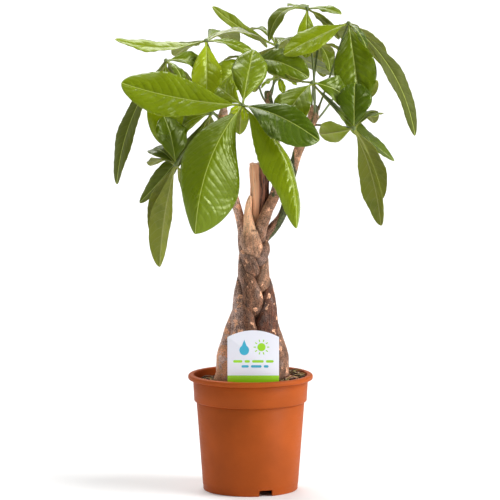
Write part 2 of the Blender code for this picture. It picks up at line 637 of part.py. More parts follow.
# Each leaf: its hub, the stem, height and compass turn that its stalk grows from, and its
# leaflets
LEAVES = {
    "leaf_front": {
        "hub": (-0.008, -0.085, 0.407), "stem": "stem_left", "height": 0.380, "turn": -70,
        "lift": 0.004,
        "leaflets": [
            leaflet((-0.130, -0.080, 0.429), 0.050, rise=-0.004, roll=-56, sway=0.004),
            leaflet((-0.054, -0.130, 0.280), 0.064, rise=0.012, roll=-34, sway=0.006),
            leaflet((0.045, -0.122, 0.285), 0.036, rise=0.010, roll=18, sway=0.001),
            leaflet((0.067, -0.120, 0.364), 0.044, rise=0.010, roll=22),
            leaflet((-0.001, -0.035, 0.463), 0.036, rise=0.005, roll=-8),
            leaflet((-0.005, -0.058, 0.374), 0.020, rise=0.006),
            leaflet((-0.036, -0.045, 0.421), 0.030, rise=0.006, roll=-10),
            leaflet((-0.021, -0.090, 0.397), 0.008, rise=0.002, roll=-40),
            leaflet((-0.006, -0.090, 0.391), 0.008, rise=0.002),
        ],
    },
    "leaf_left_upper": {
        "hub": (-0.087, -0.020, 0.449), "stem": "stem_left", "height": 0.391, "turn": 170,
        "lift": 0.010,
        "leaflets": [
            leaflet((-0.137, -0.038, 0.323), 0.024, rise=0.014, roll=-20),
            leaflet((-0.092, -0.036, 0.362), 0.040, rise=0.008),
            leaflet((-0.045, 0.002, 0.434), 0.030, rise=0.010, roll=40),
            leaflet((-0.068, -0.045, 0.426), 0.012, rise=0.005),
            leaflet((-0.112, 0.044, 0.374), 0.028, rise=0.008),
            leaflet((-0.062, 0.052, 0.388), 0.030, rise=0.010),
        ],
    },
    "leaf_left_top": {
        "hub": (-0.046, -0.002, 0.469), "stem": "stem_left", "height": 0.397, "turn": 60,
        "lift": 0.010,
        "leaflets": [
            leaflet((-0.140, 0.006, 0.470), 0.034, rise=-0.013, roll=-18),
            leaflet((-0.037, -0.038, 0.409), 0.029, rise=0.006),
            leaflet((0.017, 0.044, 0.460), 0.028, rise=0.010, roll=-8),
            leaflet((0.000, -0.004, 0.450), 0.026, rise=0.008, roll=-8),
            leaflet((-0.080, 0.078, 0.450), 0.024, rise=0.004),
            leaflet((-0.016, 0.100, 0.448), 0.032, rise=0.014),
        ],
    },
    "leaf_back_top": {
        "hub": (0.028, 0.062, 0.461), "stem": "stem_middle", "height": 0.408, "turn": 60,
        "lift": 0.008,
        "leaflets": [
            leaflet((-0.040, 0.072, 0.502), 0.024, rise=-0.006, roll=-45),
            leaflet((-0.004, 0.112, 0.474), 0.014, rise=0.010),
            leaflet((0.050, 0.140, 0.440), 0.034, rise=0.016),
            leaflet((0.044, 0.086, 0.424), 0.022, rise=0.010),
            leaflet((0.004, 0.098, 0.410), 0.028, rise=0.014),
        ],
    },
    "leaf_back_right": {
        "hub": (0.059, 0.045, 0.501), "stem": "stem_right", "height": 0.400, "turn": 80,
        "lift": 0.016,
        "leaflets": [
            leaflet((0.022, 0.025, 0.467), 0.018, rise=0.016, roll=-15),
            leaflet((0.046, 0.108, 0.503), 0.022, rise=0.000),
            leaflet((0.095, 0.034, 0.495), 0.016, rise=0.003, roll=20),
            leaflet((0.057, 0.018, 0.452), 0.028, rise=0.006),
            leaflet((0.094, 0.088, 0.467), 0.016, rise=0.004),
        ],
    },
    "leaf_right_upper": {
        "hub": (0.101, -0.005, 0.487), "stem": "stem_right", "height": 0.397, "turn": 10,
        "lift": 0.004, "climb": 0.42,
        "leaflets": [
            leaflet((0.034, -0.025, 0.455), 0.030, rise=0.003, roll=-48),
            leaflet((0.113, -0.030, 0.405), 0.042, rise=0.008),
            leaflet((0.168, -0.025, 0.371), 0.024, rise=0.018, roll=20),
            leaflet((0.140, 0.066, 0.440), 0.026, rise=0.006),
            leaflet((0.118, -0.040, 0.463), 0.010, rise=0.004),
            leaflet((0.104, 0.092, 0.462), 0.024, rise=0.006),
        ],
    },
    "leaf_right_inner": {
        "hub": (0.063, -0.050, 0.428), "stem": "stem_right", "height": 0.393, "turn": -80,
        "lift": 0.002,
        "leaflets": [
            leaflet((0.032, -0.072, 0.388), 0.040, rise=0.004, roll=-25),
            leaflet((0.100, -0.025, 0.408), 0.034, rise=0.008, roll=35),
            leaflet((0.149, -0.005, 0.345), 0.024, rise=-0.004, roll=55),
            leaflet((0.018, -0.020, 0.437), 0.012, rise=-0.002, roll=40),
        ],
    },
    "leaf_left_inner": {
        "hub": (-0.040, -0.035, 0.396), "stem": "stem_left", "height": 0.3875, "turn": -120,
        "lift": 0.003,
        "leaflets": [
            leaflet((-0.084, -0.020, 0.376), 0.034, rise=0.008, roll=-35),
            leaflet((-0.115, -0.005, 0.301), 0.024, rise=-0.004, roll=-55),
            leaflet((-0.072, 0.012, 0.376), 0.024, rise=0.008),
            leaflet((-0.048, 0.008, 0.345), 0.022, rise=0.008),
        ],
    },
    "leaf_left_low": {
        "hub": (-0.076, -0.062, 0.345), "stem": "stem_left", "height": 0.374, "turn": -160,
        "lift": 0.018,
        "leaflets": [
            leaflet((-0.080, -0.050, 0.393), 0.034, rise=0.003),
            leaflet((-0.094, -0.022, 0.236), 0.024, rise=0.008),
            leaflet((-0.098, 0.002, 0.263), 0.026, rise=0.010, roll=-10),
            leaflet((-0.108, -0.024, 0.356), 0.024, rise=0.006),
            leaflet((-0.104, 0.006, 0.339), 0.022, rise=0.006),
            leaflet((-0.054, 0.002, 0.290), 0.024, rise=0.006),
        ],
    },
    "leaf_right_low": {
        "hub": (0.105, -0.062, 0.382), "stem": "stem_right", "height": 0.383, "turn": 0,
        "lift": 0.001,
        "leaflets": [
            leaflet((0.107, -0.050, 0.433), 0.034, rise=0.003),
            leaflet((0.135, -0.022, 0.279), 0.024, rise=0.008),
            leaflet((0.135, 0.000, 0.303), 0.026, rise=0.010),
            leaflet((0.072, 0.006, 0.372), 0.026, rise=-0.003, roll=20),
            leaflet((0.134, -0.022, 0.394), 0.024, rise=0.006),
            leaflet((0.128, 0.010, 0.383), 0.022, rise=0.014),
        ],
    },
    "leaf_centre": {
        "hub": (0.000, 0.006, 0.446), "stem": "stem_middle", "height": 0.404, "turn": 200,
        "lift": 0.010,
        "leaflets": [
            leaflet((0.060, -0.030, 0.432), 0.030, rise=0.010, roll=30),
            leaflet((0.055, 0.020, 0.424), 0.018, rise=0.008),
            leaflet((-0.024, 0.052, 0.420), 0.026, rise=0.010),
            leaflet((-0.033, -0.026, 0.411), 0.022, rise=0.008),
            leaflet((-0.028, 0.010, 0.437), 0.018, rise=0.006),
        ],
    },
    "leaf_right_middle": {
        "hub": (0.071, 0.048, 0.464), "stem": "stem_right", "height": 0.390, "turn": 100,
        "lift": 0.010,
        "leaflets": [
            leaflet((0.083, 0.030, 0.435), 0.018, rise=0.005),
            leaflet((0.102, 0.062, 0.446), 0.016, rise=0.006),
            leaflet((0.050, 0.096, 0.454), 0.026, rise=0.010),
            leaflet((0.078, 0.110, 0.426), 0.028, rise=0.012),
        ],
    },
    "leaf_back_low": {
        "hub": (0.106, 0.062, 0.427), "stem": "stem_right", "height": 0.386, "turn": 45,
        "lift": 0.006,
        "leaflets": [
            leaflet((0.048, 0.064, 0.450), 0.020, rise=-0.003, roll=-20),
            leaflet((0.128, 0.108, 0.404), 0.028, rise=0.010),
            leaflet((0.096, 0.126, 0.396), 0.028, rise=0.012),
            leaflet((0.118, 0.052, 0.392), 0.020, rise=0.006),
        ],
    },
    "leaf_young": {
        "hub": (0.029, 0.020, 0.431), "stem": "stem_middle", "height": 0.412, "turn": -60,
        "lift": 0.003,
        "leaflets": [
            leaflet((0.011, 0.010, 0.419), 0.008, rise=0.002),
            leaflet((0.048, 0.012, 0.422), 0.008, rise=0.002),
            leaflet((0.034, 0.000, 0.414), 0.008, rise=0.002),
            leaflet((0.026, 0.040, 0.424), 0.008, rise=0.003),
        ],
    },
}


def build_leaf(name, plan, finish):
    """Hub, stalk and leaflets of one leaf, joined into one solid."""
    hub = Vector(plan["hub"])
    climb = plan.get("climb", CLIMB)
    rod = stalk(plan["stem"], plan["height"], plan["turn"], hub, plan["lift"], climb)
    pieces = [solid(name, rod, finish)]
    knob = bmesh.new()
    bmesh.ops.create_icosphere(knob, subdivisions=1, radius=HUB_RADIUS)
    bmesh.ops.translate(knob, verts=knob.verts, vec=hub)
    pieces.append(solid(name + "_hub", knob, finish))
    for number, shape in enumerate(plan["leaflets"]):
        pieces.append(solid(f"{name}_{number}", blade(hub, shape), finish))
    made = fuse(name, pieces)
    shade(made, 30.0)
    return made


def main():
    clear_scene()
    plastic = surface("terracotta_plastic", (0.50, 0.12, 0.03), 0.42)
    bark = surface("bark", (0.22, 0.13, 0.09), 0.85)
    mix = surface("potting_mix", (0.07, 0.045, 0.025), 0.95)
    card = surface("label_card", (0.86, 0.87, 0.90), 0.35)
    green = surface("leaf_green", (0.13, 0.26, 0.02), 0.35)
    build_pot(plastic)
    build_soil(mix)
    label_plate("plant_label", 0.0, card)
    build_stems(bark)
    for name, plan in LEAVES.items():
        build_leaf(name, plan, green)


main()
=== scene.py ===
"""Fine pieces, finishes and stage for the potted braided money tree (Pachira aquatica).

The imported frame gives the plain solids. Each one is replaced here by a finer piece of the
same form: a moulded nursery pot, a mix of coir and bark, a plain plant label, five plaited
stems with their bark, and fourteen leaves. All sizes are in metres and +Z is up.
"""

import math
import random

import bpy
import numpy as np
from bpy.props import FloatProperty, FloatVectorProperty, IntProperty, PointerProperty
from mathutils import Matrix, Vector, noise


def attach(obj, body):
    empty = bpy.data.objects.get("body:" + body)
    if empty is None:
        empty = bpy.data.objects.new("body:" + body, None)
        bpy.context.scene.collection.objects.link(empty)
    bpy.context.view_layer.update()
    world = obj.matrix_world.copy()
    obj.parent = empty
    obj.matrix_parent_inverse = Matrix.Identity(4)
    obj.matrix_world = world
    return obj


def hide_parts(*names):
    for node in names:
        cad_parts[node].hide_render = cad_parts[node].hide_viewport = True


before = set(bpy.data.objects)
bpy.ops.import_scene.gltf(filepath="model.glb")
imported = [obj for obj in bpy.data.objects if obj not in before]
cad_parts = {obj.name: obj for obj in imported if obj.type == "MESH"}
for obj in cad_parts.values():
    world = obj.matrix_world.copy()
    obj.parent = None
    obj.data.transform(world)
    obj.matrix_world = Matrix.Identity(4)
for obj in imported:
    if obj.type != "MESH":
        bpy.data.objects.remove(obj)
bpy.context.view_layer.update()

bl_info = {
    "name": "Braided Money Tree",
    "version": (1, 0, 0),
    "blender": (4, 5, 0),
    "location": "View3D > Sidebar > Money Tree",
    "description": "Models and finishes a plaited Pachira in its nursery pot",
    "category": "Add Mesh",
}

BODY = "root"
UP = Vector((0.0, 0.0, 1.0))


def metres(row):
    """Sizes in millimetres as metres."""
    return [size / 1000 for size in row]


def linear(code):
    """Linear colour of an sRGB hex code."""
    parts = [int(code[k:k + 2], 16) / 255 for k in (1, 3, 5)]
    return [p / 12.92 if p <= 0.04045 else ((p + 0.055) / 1.055) ** 2.4 for p in parts] + [1.0]


def length(label, about, default):
    """Property for a size that a user may change."""
    return FloatProperty(name=label, description=about, default=default, subtype="DISTANCE",
                         unit="LENGTH", precision=4)


def tint(label, about, code):
    """Property for a colour that a user may change."""
    return FloatVectorProperty(name=label, description=about, default=linear(code), size=4,
                               subtype="COLOR", min=0.0, max=1.0)


class PotSettings(bpy.types.PropertyGroup):
    """Sizes and colour of the nursery pot."""
    height: length("Height", "Height of the pot", 0.1214)
    lip_radius: length("Lip radius", "Outer radius of the rolled lip", 0.0652)
    lip_height: length("Lip height", "Height of the rolled lip", 0.0052)
    collar_radius: length("Collar radius", "Outer radius of the collar", 0.0602)
    step_height: length("Step height", "Height of the step under the collar", 0.093)
    step_radius: length("Step radius", "Outer radius just under the step", 0.0564)
    base_radius: length("Base radius", "Outer radius of the foot", 0.0495)
    wall: length("Wall", "Thickness of the wall", 0.0013)
    sides: IntProperty(name="Sides", description="Faces round the pot", default=144, min=24)
    colour: tint("Plastic", "Colour of the moulded plastic", "#ac511c")


class MixSettings(bpy.types.PropertyGroup):
    """Level and make-up of the potting mix."""
    level: length("Level", "Height of the mix in the pot", 0.1128)
    rise: length("Rise", "How much higher it lies at the right edge", 0.0056)
    cells: IntProperty(name="Cells", description="Grid cells across its top", default=130, min=20)
    chips: IntProperty(name="Bark chips", description="Loose bark chips", default=330, min=0)
    fibres: IntProperty(name="Coir fibres", description="Loose coir fibres", default=420, min=0)
    seed: IntProperty(name="Seed", description="Seed of the scatter", default=7)
    colour: tint("Mix", "Colour of the damp mix", "#2c1f12")


class LabelSettings(bpy.types.PropertyGroup):
    """Sizes and colours of the plant label."""
    width: length("Width", "Width of the card", 0.053)
    shoulder: length("Shoulder", "Height where the arched top starts", 0.1665)
    top: length("Top", "Height of the top of the arch", 0.1735)
    band_top: length("Band", "Height of the top of the printed band", 0.1268)
    card: tint("Card", "Colour of the card", "#e9eaf4")
    lime: tint("Lime", "First print colour", "#9ede14")
    teal: tint("Teal", "Second print colour", "#32aece")


class StemSettings(bpy.types.PropertyGroup):
    """Fineness and colours of the plaited stems."""
    sides: IntProperty(name="Sides", description="Faces round a stem", default=44, min=8)
    ring_spacing: length("Ring spacing", "Distance between cross-sections", 0.0011)
    relief: FloatProperty(name="Relief", description="Strength of the modelled bark", default=1.0)
    bark: tint("Bark", "Colour of the old bark", "#6b3f2c")
    wood: tint("Wood", "Colour of the bare wood", "#ecb088")


class LeafSettings(bpy.types.PropertyGroup):
    """Fineness and colours of the leaves."""
    thickness: length("Thickness", "Thickness of a blade", 0.0005)
    vein_spacing: length("Vein spacing", "Distance between side veins", 0.0094)
    quilt: FloatProperty(name="Quilt", description="Bulge between veins, as a share of half the width",
                         default=0.032)
    arch: FloatProperty(name="Arch", description="Height of each half's arch, as a share of its width",
                        default=0.075)
    upper: tint("Upper side", "Colour of the upper side", "#445a02")
    under: tint("Underside", "Colour of the underside", "#767c1c")


class StageSettings(bpy.types.PropertyGroup):
    """Floor, light and camera."""
    floor_size: length("Floor", "Width of the floor", 120.0)
    front: FloatProperty(name="Front", description="Light from the camera's side", default=0.22)
    back: FloatProperty(name="Back", description="Light from behind the plant", default=0.42)
    focal: FloatProperty(name="Lens", description="Focal length of the camera in mm", default=208.9)


def deselect():
    """Back to object mode with nothing selected; loading the frame selects its nodes."""
    if bpy.context.mode != "OBJECT":
        bpy.ops.object.mode_set(mode="OBJECT")
    bpy.ops.object.select_all(action="DESELECT")


def choose(piece):
    """Make one piece the only one selected, and the active one."""
    deselect()
    piece.select_set(True)
    bpy.context.view_layer.objects.active = piece


def edit(piece, mode, action="DESELECT"):
    """Open one piece in edit mode, with all or nothing selected."""
    choose(piece)
    bpy.ops.object.mode_set(mode="EDIT")
    bpy.ops.mesh.select_mode(type=mode)
    bpy.ops.mesh.select_all(action=action)


def pick_edges(piece, least):
    """Select the edges of the open piece that run at least so far along x."""
    bpy.ops.object.mode_set(mode="OBJECT")
    spots = [vertex.co.x for vertex in piece.data.vertices]
    for edge in piece.data.edges:
        low, high = edge.vertices
        edge.select = abs(spots[low] - spots[high]) >= least
    bpy.ops.object.mode_set(mode="EDIT")


def face_outwards():
    """Point all faces of the open mesh outwards."""
    bpy.ops.mesh.select_all(action="SELECT")
    bpy.ops.mesh.normals_make_consistent(inside=False)
    bpy.ops.object.mode_set(mode="OBJECT")


def apply_modifier(piece, kind, **settings):
    """Add a modifier, set it and apply it."""
    choose(piece)
    step = piece.modifiers.new(kind.lower(), kind)
    for name, value in settings.items():
        setattr(step, name, value)
    bpy.ops.object.modifier_apply(modifier=step.name)


def join(pieces):
    """Join pieces into the first one."""
    choose(pieces[0])
    for piece in pieces:
        piece.select_set(True)
    bpy.ops.object.join()
    return pieces[0]


def settle(piece, name, angle):
    """Finish a piece: its place goes into its mesh, it is shaded, and it stands for its node."""
    choose(piece)
    bpy.ops.object.transform_apply(location=True, rotation=True, scale=True)
    bpy.ops.object.shade_smooth_by_angle(angle=math.radians(angle))
    piece.name = name + "_fine"
    piece.data.name = piece.name
    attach(piece, BODY)
    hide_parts(name)


def connect(tree, made, *inputs, **named):
    """Set or link inputs of a node, in the order of those in use or by name.

    An input is a value, an output or a node, which stands for its first output in use.
    Underscores in a name stand for spaces.
    """
    in_use = [socket for socket in made.inputs if socket.enabled]
    by_name = [made.inputs[name.replace("_", " ")] for name in named]
    for socket, value in zip([*in_use[:len(inputs)], *by_name], [*inputs, *named.values()]):
        if isinstance(value, bpy.types.Node):
            value = next(output for output in value.outputs if output.enabled)
        if isinstance(value, bpy.types.NodeSocket):
            tree.links.new(value, socket)
        else:
            socket.default_value = value


def node(tree, kind, *inputs, stops=(), **named):
    """Add a node with its settings, which start with a small letter, its inputs and its stops."""
    made = tree.nodes.new("ShaderNode" + kind)
    for name in [name for name in named if name[0].islower()]:
        setattr(made, name, named.pop(name))
    connect(tree, made, *inputs, **named)
    for place, (spot, colour) in enumerate(stops):
        row = made.color_ramp.elements
        if place >= 2:
            row.new(spot)
        row[place].position = spot
        row[place].color = linear(colour) if isinstance(colour, str) else colour
    return made


def new_material(name, **values):
    """Material with one Principled shader and the values that are the same all over it."""
    made = bpy.data.materials.new(name)
    made.use_nodes = True
    shader = made.node_tree.nodes["Principled BSDF"]
    connect(made.node_tree, shader, **values)
    return made, made.node_tree, shader


def per(mm):
    """Texture scale of a pattern that repeats about every so many millimetres."""
    return 1000.0 / mm


def grey(value):
    """Linear grey for a ramp's stop."""
    return (value, value, value, 1.0)


def smooth(x, low, high):
    """Smooth step from 0 at low to 1 at high."""
    share = min(1.0, max(0.0, (x - low) / (high - low)))
    return share * share * (3 - 2 * share)


def within(x, start, full, fading, end):
    """1 from full to fading, and eased to 0 at start and at end."""
    return smooth(x, start, full) * (1 - smooth(x, fading, end))


def between(table, x):
    """Read a value from a table of (x, value) rows."""
    if x <= table[0][0]:
        return table[0][1]
    for (x0, v0), (x1, v1) in zip(table, table[1:]):
        if x <= x1:
            return v0 + (v1 - v0) * (x - x0) / (x1 - x0)
    return table[-1][1]


def curve_through(points, steps):
    """Smooth path through given points (Catmull-Rom)."""
    spread = [2 * points[0] - points[1], *points, 2 * points[-1] - points[-2]]
    path = []
    for k in range(1, len(spread) - 2):
        a, b, c, d = spread[k - 1:k + 3]
        for n in range(steps):
            t = n / steps
            path.append(0.5 * (
                2 * b + (c - a) * t + (2 * a - 5 * b + 4 * c - d) * t * t
                + (3 * b - a - 3 * c + d) * t * t * t
            ))
    path.append(points[-1].copy())
    return path


def sheet(name, across, along):
    """Flat grid from -1 to 1 both ways, with its own UV map."""
    deselect()
    bpy.ops.mesh.primitive_grid_add(x_subdivisions=across, y_subdivisions=along, size=2,
                                    calc_uvs=True)
    made = bpy.context.object
    made.name = name
    return made


def paint(piece, name, values):
    """Store one colour for each vertex, or the same one for all."""
    layer = piece.data.color_attributes.new(name, "FLOAT_COLOR", "POINT")
    values = np.asarray(values, dtype=np.float32)
    if values.ndim == 1:
        values = np.tile(values, (len(piece.data.vertices), 1))
    layer.data.foreach_set("color", values.ravel())


def rolled(name, path, radii, sides, relief=None, press=None):
    """Grid rolled into a closed tube round a path; u runs round it and v along it.

    Its rings are carried along without twisting. relief gives how far a point stands out from
    its radius, from its angle, its distance along the path, its radius and its ring's number.
    press moves a point of the bare tube before its relief goes on.
    """
    piece = sheet(name, sides, len(path) - 1)
    rows = []
    across = None
    run = 0.0
    for k, point in enumerate(path):
        before, after = path[max(k - 1, 0)], path[min(k + 1, len(path) - 1)]
        along = (after - before).normalized()
        if across is None:
            across = along.orthogonal()
        across = (across - along * across.dot(along)).normalized()
        run += (point - before).length
        rows.append((point, across.copy(), along.cross(across), run))
    grain = []
    for vertex in piece.data.vertices:
        k = round((vertex.co.y + 1) / 2 * (len(path) - 1))
        turn = math.pi * (vertex.co.x + 1)
        point, side, other, run = rows[k]
        radius = radii[k]
        out = side * math.cos(turn) + other * math.sin(turn)
        grain.append((radius * math.cos(turn), radius * math.sin(turn), run))
        spot = point + out * radius
        if press:
            spot = press(spot)
        if relief:
            spot += out * relief(turn, run, radius, k, point, out)
        vertex.co = spot
    layer = piece.data.attributes.new("Grain", "FLOAT_VECTOR", "POINT")
    layer.data.foreach_set("vector", np.array(grain, dtype=np.float32).ravel())
    edit(piece, "VERT", "SELECT")
    bpy.ops.mesh.remove_doubles(threshold=1e-6)
    bpy.ops.mesh.select_all(action="DESELECT")
    bpy.ops.mesh.select_mode(type="EDGE")
    bpy.ops.mesh.select_non_manifold()
    bpy.ops.mesh.fill_holes(sides=0)
    face_outwards()
    return piece


# Pot

# Centre foot, foot ring and the height of the floor between them
CENTRE_FOOT = 0.0200
FOOT_RING = 0.0462
FOOT_RECESS = 0.0074
# Roundings of the foot's edge, of the collar's lower edge, and of the lip below and above
FOOT_ROUND = 0.0012
COLLAR_ROUND = 0.0011
LIP_ROUND_BELOW = 0.0014
LIP_ROUND_ABOVE = 0.0024
# The collar and its inner face widen upwards by this much
COLLAR_TAPER = 0.0013
INNER_TAPER = 0.0008
NOTCHES = 3
NOTCH_WIDTH = 0.0144
NOTCH_HEIGHT = 0.0064
NOTCH_DEPTH = 0.0100
NOTCH_TURN = math.radians(-71.0)


def pot_plastic(settings):
    """Injection-moulded polypropylene: satin, slightly mottled, with a fine grain and scuffs."""
    made, tree, shader = new_material(
        "moulded_polypropylene", Roughness=0.48, Specular_IOR_Level=0.10, Subsurface_Weight=0.05,
        Subsurface_Radius=(1.0, 0.35, 0.15), Subsurface_Scale=0.001)
    place = node(tree, "TexCoord").outputs["Object"]
    colour = tuple(settings.colour)
    darker = tuple(c * 0.80 for c in colour[:3]) + (1.0,)
    # Flow of the melt: broad clouds of slightly darker plastic
    cloud = node(tree, "TexNoise", place, Scale=per(42), Detail=3.0)
    share = node(tree, "MapRange", cloud, 0.35, 0.7)
    base = node(tree, "Mix", share, colour, darker, data_type="RGBA")
    # Grit of the mould, drawn at 0.6 mm so that it shows
    grit = node(tree, "TexNoise", place, Scale=per(0.6), Detail=2.0)
    speck = node(tree, "MapRange", grit, 0.2, 0.8, 0.94, 1.05)
    body = node(tree, "Mix", 1.0, base, speck, data_type="RGBA", blend_type="MULTIPLY")
    # Handling scuffs: streaks that are slightly duller, stretched round the pot
    stretched = node(tree, "Mapping", place, Scale=(1.0, 1.0, 5.0))
    scuff = node(tree, "TexNoise", stretched, Scale=per(9), Detail=5.0)
    rough = node(tree, "MapRange", scuff, 0.3, 0.7, 0.42, 0.56)
    bump = node(tree, "Bump", Height=grit, Strength=0.12, Distance=0.0003)
    wave = node(tree, "Bump", Height=scuff, Strength=0.05, Distance=0.001, Normal=bump)
    connect(tree, shader, Base_Color=body, Roughness=rough, Normal=wave)
    return made


def corner(radius, height, size, start, end, steps=6):
    """Points of a rounded corner of an outline, between two angles in degrees."""
    points = []
    for k in range(steps + 1):
        turn = math.radians(start + (end - start) * k / steps)
        points.append((radius + size * math.cos(turn), height + size * math.sin(turn)))
    return points


def inner_radius(pot, height):
    """Radius of the pot's inner face at a height."""
    if height >= pot.step_height:
        share = (height - pot.step_height) / (pot.height - pot.step_height)
        return pot.collar_radius - INNER_TAPER - pot.wall + INNER_TAPER * share
    spread = pot.step_radius - pot.base_radius
    return pot.base_radius - pot.wall + spread * height / pot.step_height


def pot_outline(pot):
    """Outline of the pot, from the centre foot out, up the wall, over the lip and down inside."""
    top = pot.height
    under_lip = top - pot.lip_height
    floor = FOOT_RECESS + pot.wall
    inner = inner_radius(pot, top)
    step = pot.step_height
    return [
        (CENTRE_FOOT, 0.0), (CENTRE_FOOT + 0.003, FOOT_RECESS),
        (FOOT_RING, FOOT_RECESS), (FOOT_RING + 0.0007, 0.0004), (FOOT_RING + 0.0011, 0.0),
        # Foot edge, then a shallow band before the wall starts
        *corner(pot.base_radius - FOOT_ROUND, FOOT_ROUND, FOOT_ROUND, -90, 0),
        (pot.base_radius + 0.0001, 0.0052), (pot.base_radius + 0.0004, 0.0057),
        (pot.base_radius + 0.0008, 0.0100),
        (pot.step_radius, step - 0.0018),
        # Shadow groove under the collar, and the collar's rounded lower edge
        (pot.step_radius - 0.0003, step - 0.0012), (pot.step_radius - 0.0006, step + 0.0002),
        (pot.step_radius - 0.0001, step + 0.0010),
        *corner(pot.collar_radius - COLLAR_TAPER - COLLAR_ROUND, step + 0.0013, COLLAR_ROUND,
                -90, 0, 5),
        (pot.collar_radius - 0.0011, step + 0.0060), (pot.collar_radius - 0.0001, under_lip - 0.0016),
        (pot.collar_radius - 0.0005, under_lip - 0.0008), (pot.collar_radius - 0.0004, under_lip),
        # Rolled lip
        *corner(pot.lip_radius - LIP_ROUND_BELOW, under_lip + LIP_ROUND_BELOW, LIP_ROUND_BELOW,
                -90, 0, 5),
        *corner(pot.lip_radius - LIP_ROUND_ABOVE, top - LIP_ROUND_ABOVE, LIP_ROUND_ABOVE, 0, 90, 7),
        *corner(inner + LIP_ROUND_BELOW, top - LIP_ROUND_BELOW, LIP_ROUND_BELOW, 90, 180, 5),
        (inner - 0.0001, top - 0.0060),
        (inner_radius(pot, step + 0.0015), step + 0.0015),
        (inner_radius(pot, step - 0.0010), step - 0.0010),
        (inner_radius(pot, floor), floor + 0.0020), (inner_radius(pot, floor) - 0.0020, floor),
    ]


class MONEYTREE_OT_pot(bpy.types.Operator):
    """Raise the nursery pot ring by ring from its centre foot and cut its drainage notches"""
    bl_idname = "money_tree.pot"
    bl_label = "Nursery pot"

    def execute(self, context):
        pot = context.scene.money_tree_pot
        outline = pot_outline(pot)
        radius, height = outline[0]
        deselect()
        bpy.ops.mesh.primitive_circle_add(vertices=pot.sides, radius=radius, fill_type="NGON",
                                          location=(0, 0, height))
        piece = bpy.context.object
        edit(piece, "FACE", "SELECT")
        for next_radius, next_height in outline[1:]:
            rise = {"value": (0, 0, next_height - height)}
            bpy.ops.mesh.extrude_region_move(TRANSFORM_OT_translate=rise)
            grown = next_radius / radius
            bpy.ops.transform.resize(value=(grown, grown, 1), center_override=(0, 0, next_height))
            radius, height = next_radius, next_height
        face_outwards()
        for k in range(NOTCHES):
            turn = NOTCH_TURN + math.tau * k / NOTCHES
            place = Vector((math.cos(turn), math.sin(turn), 0)) * pot.base_radius
            deselect()
            bpy.ops.mesh.primitive_cube_add(
                size=1, location=place, rotation=(0, 0, turn),
                scale=(NOTCH_DEPTH, NOTCH_WIDTH, 2 * NOTCH_HEIGHT))
            cutter = bpy.context.object
            edit(cutter, "EDGE", "SELECT")
            bpy.ops.mesh.bevel(offset=0.0009, segments=3, affect="EDGES")
            bpy.ops.object.mode_set(mode="OBJECT")
            apply_modifier(piece, "BOOLEAN", operation="DIFFERENCE", object=cutter)
            bpy.data.objects.remove(cutter, do_unlink=True)
        piece.data.materials.clear()
        piece.data.materials.append(pot_plastic(pot))
        settle(piece, "pot", 38.0)
        return {"FINISHED"}


# Potting mix

MIX_BOTTOM = 0.0092
# How far the mix stands clear of the wall, and how it tapers at its bottom edge
MIX_SEAT = 0.0006
MIX_TAPER = 0.0030
MIX_TAPER_TOP = 0.0120
# It narrows at the pot's step, from just above it to just below
MIX_STEP_ABOVE = 0.0008
MIX_STEP_BELOW = 0.0028
CHIP_SIZE = (0.0048, 0.0028, 0.0011)
FIBRE_SIZE = (0.0130, 0.0009, 0.0005)
FIBRE_CUTS = 4
SHRED_COLOURS = ("#a08354", "#bfa272", "#7a5b35", "#54391f", "#3a2614", "#cdb287")
# Chips and fibres keep this far from the rim of the mix
SCATTER_MARGIN = 0.0065


def mix_crumb(settings):
    """Damp coir and composted bark: near black, matt, with brown crumbs."""
    made, tree, shader = new_material("damp_potting_mix", Roughness=0.92, Specular_IOR_Level=0.25)
    place = node(tree, "TexCoord").outputs["Object"]
    crumb = node(tree, "TexNoise", place, Scale=per(2.2), Detail=6.0, Roughness=0.7)
    ramp = node(tree, "ValToRGB", crumb,
                stops=((0.30, "#120b06"), (0.72, "#7a5a36"), (0.5, settings.colour)))
    bump = node(tree, "Bump", Height=crumb, Strength=0.9, Distance=0.0008)
    connect(tree, shader, Base_Color=ramp, Normal=bump)
    return made


def mix_shreds():
    """Coir fibre and bark chips: dry straw to dark brown, each one a little different."""
    made, tree, shader = new_material("coir_and_bark_shreds", Roughness=0.82,
                                      Specular_IOR_Level=0.3)
    own = node(tree, "Attribute", attribute_name="Tint").outputs["Color"]
    place = node(tree, "TexCoord").outputs["Object"]
    streak = node(tree, "TexNoise", place, Scale=per(1.6), Detail=3.0)
    share = node(tree, "MapRange", streak, 0.3, 0.7, 0.55, 1.2)
    body = node(tree, "Mix", 1.0, own, share, data_type="RGBA", blend_type="MULTIPLY")
    bump = node(tree, "Bump", Height=streak, Strength=0.5, Distance=0.0003)
    connect(tree, shader, Base_Color=body, Normal=bump)
    return made


def mix_height(pot, mix, x, y):
    """Height of the top of the mix at a place."""
    spot = Vector((x, y, mix.level))
    height = mix.level + mix.rise * smooth(x, 0.0, pot.base_radius)
    height += noise.noise(spot * 90.0) * 0.0013
    height += noise.fractal(spot * 260.0, 0.8, 2.1, 4) * 0.0009
    return height


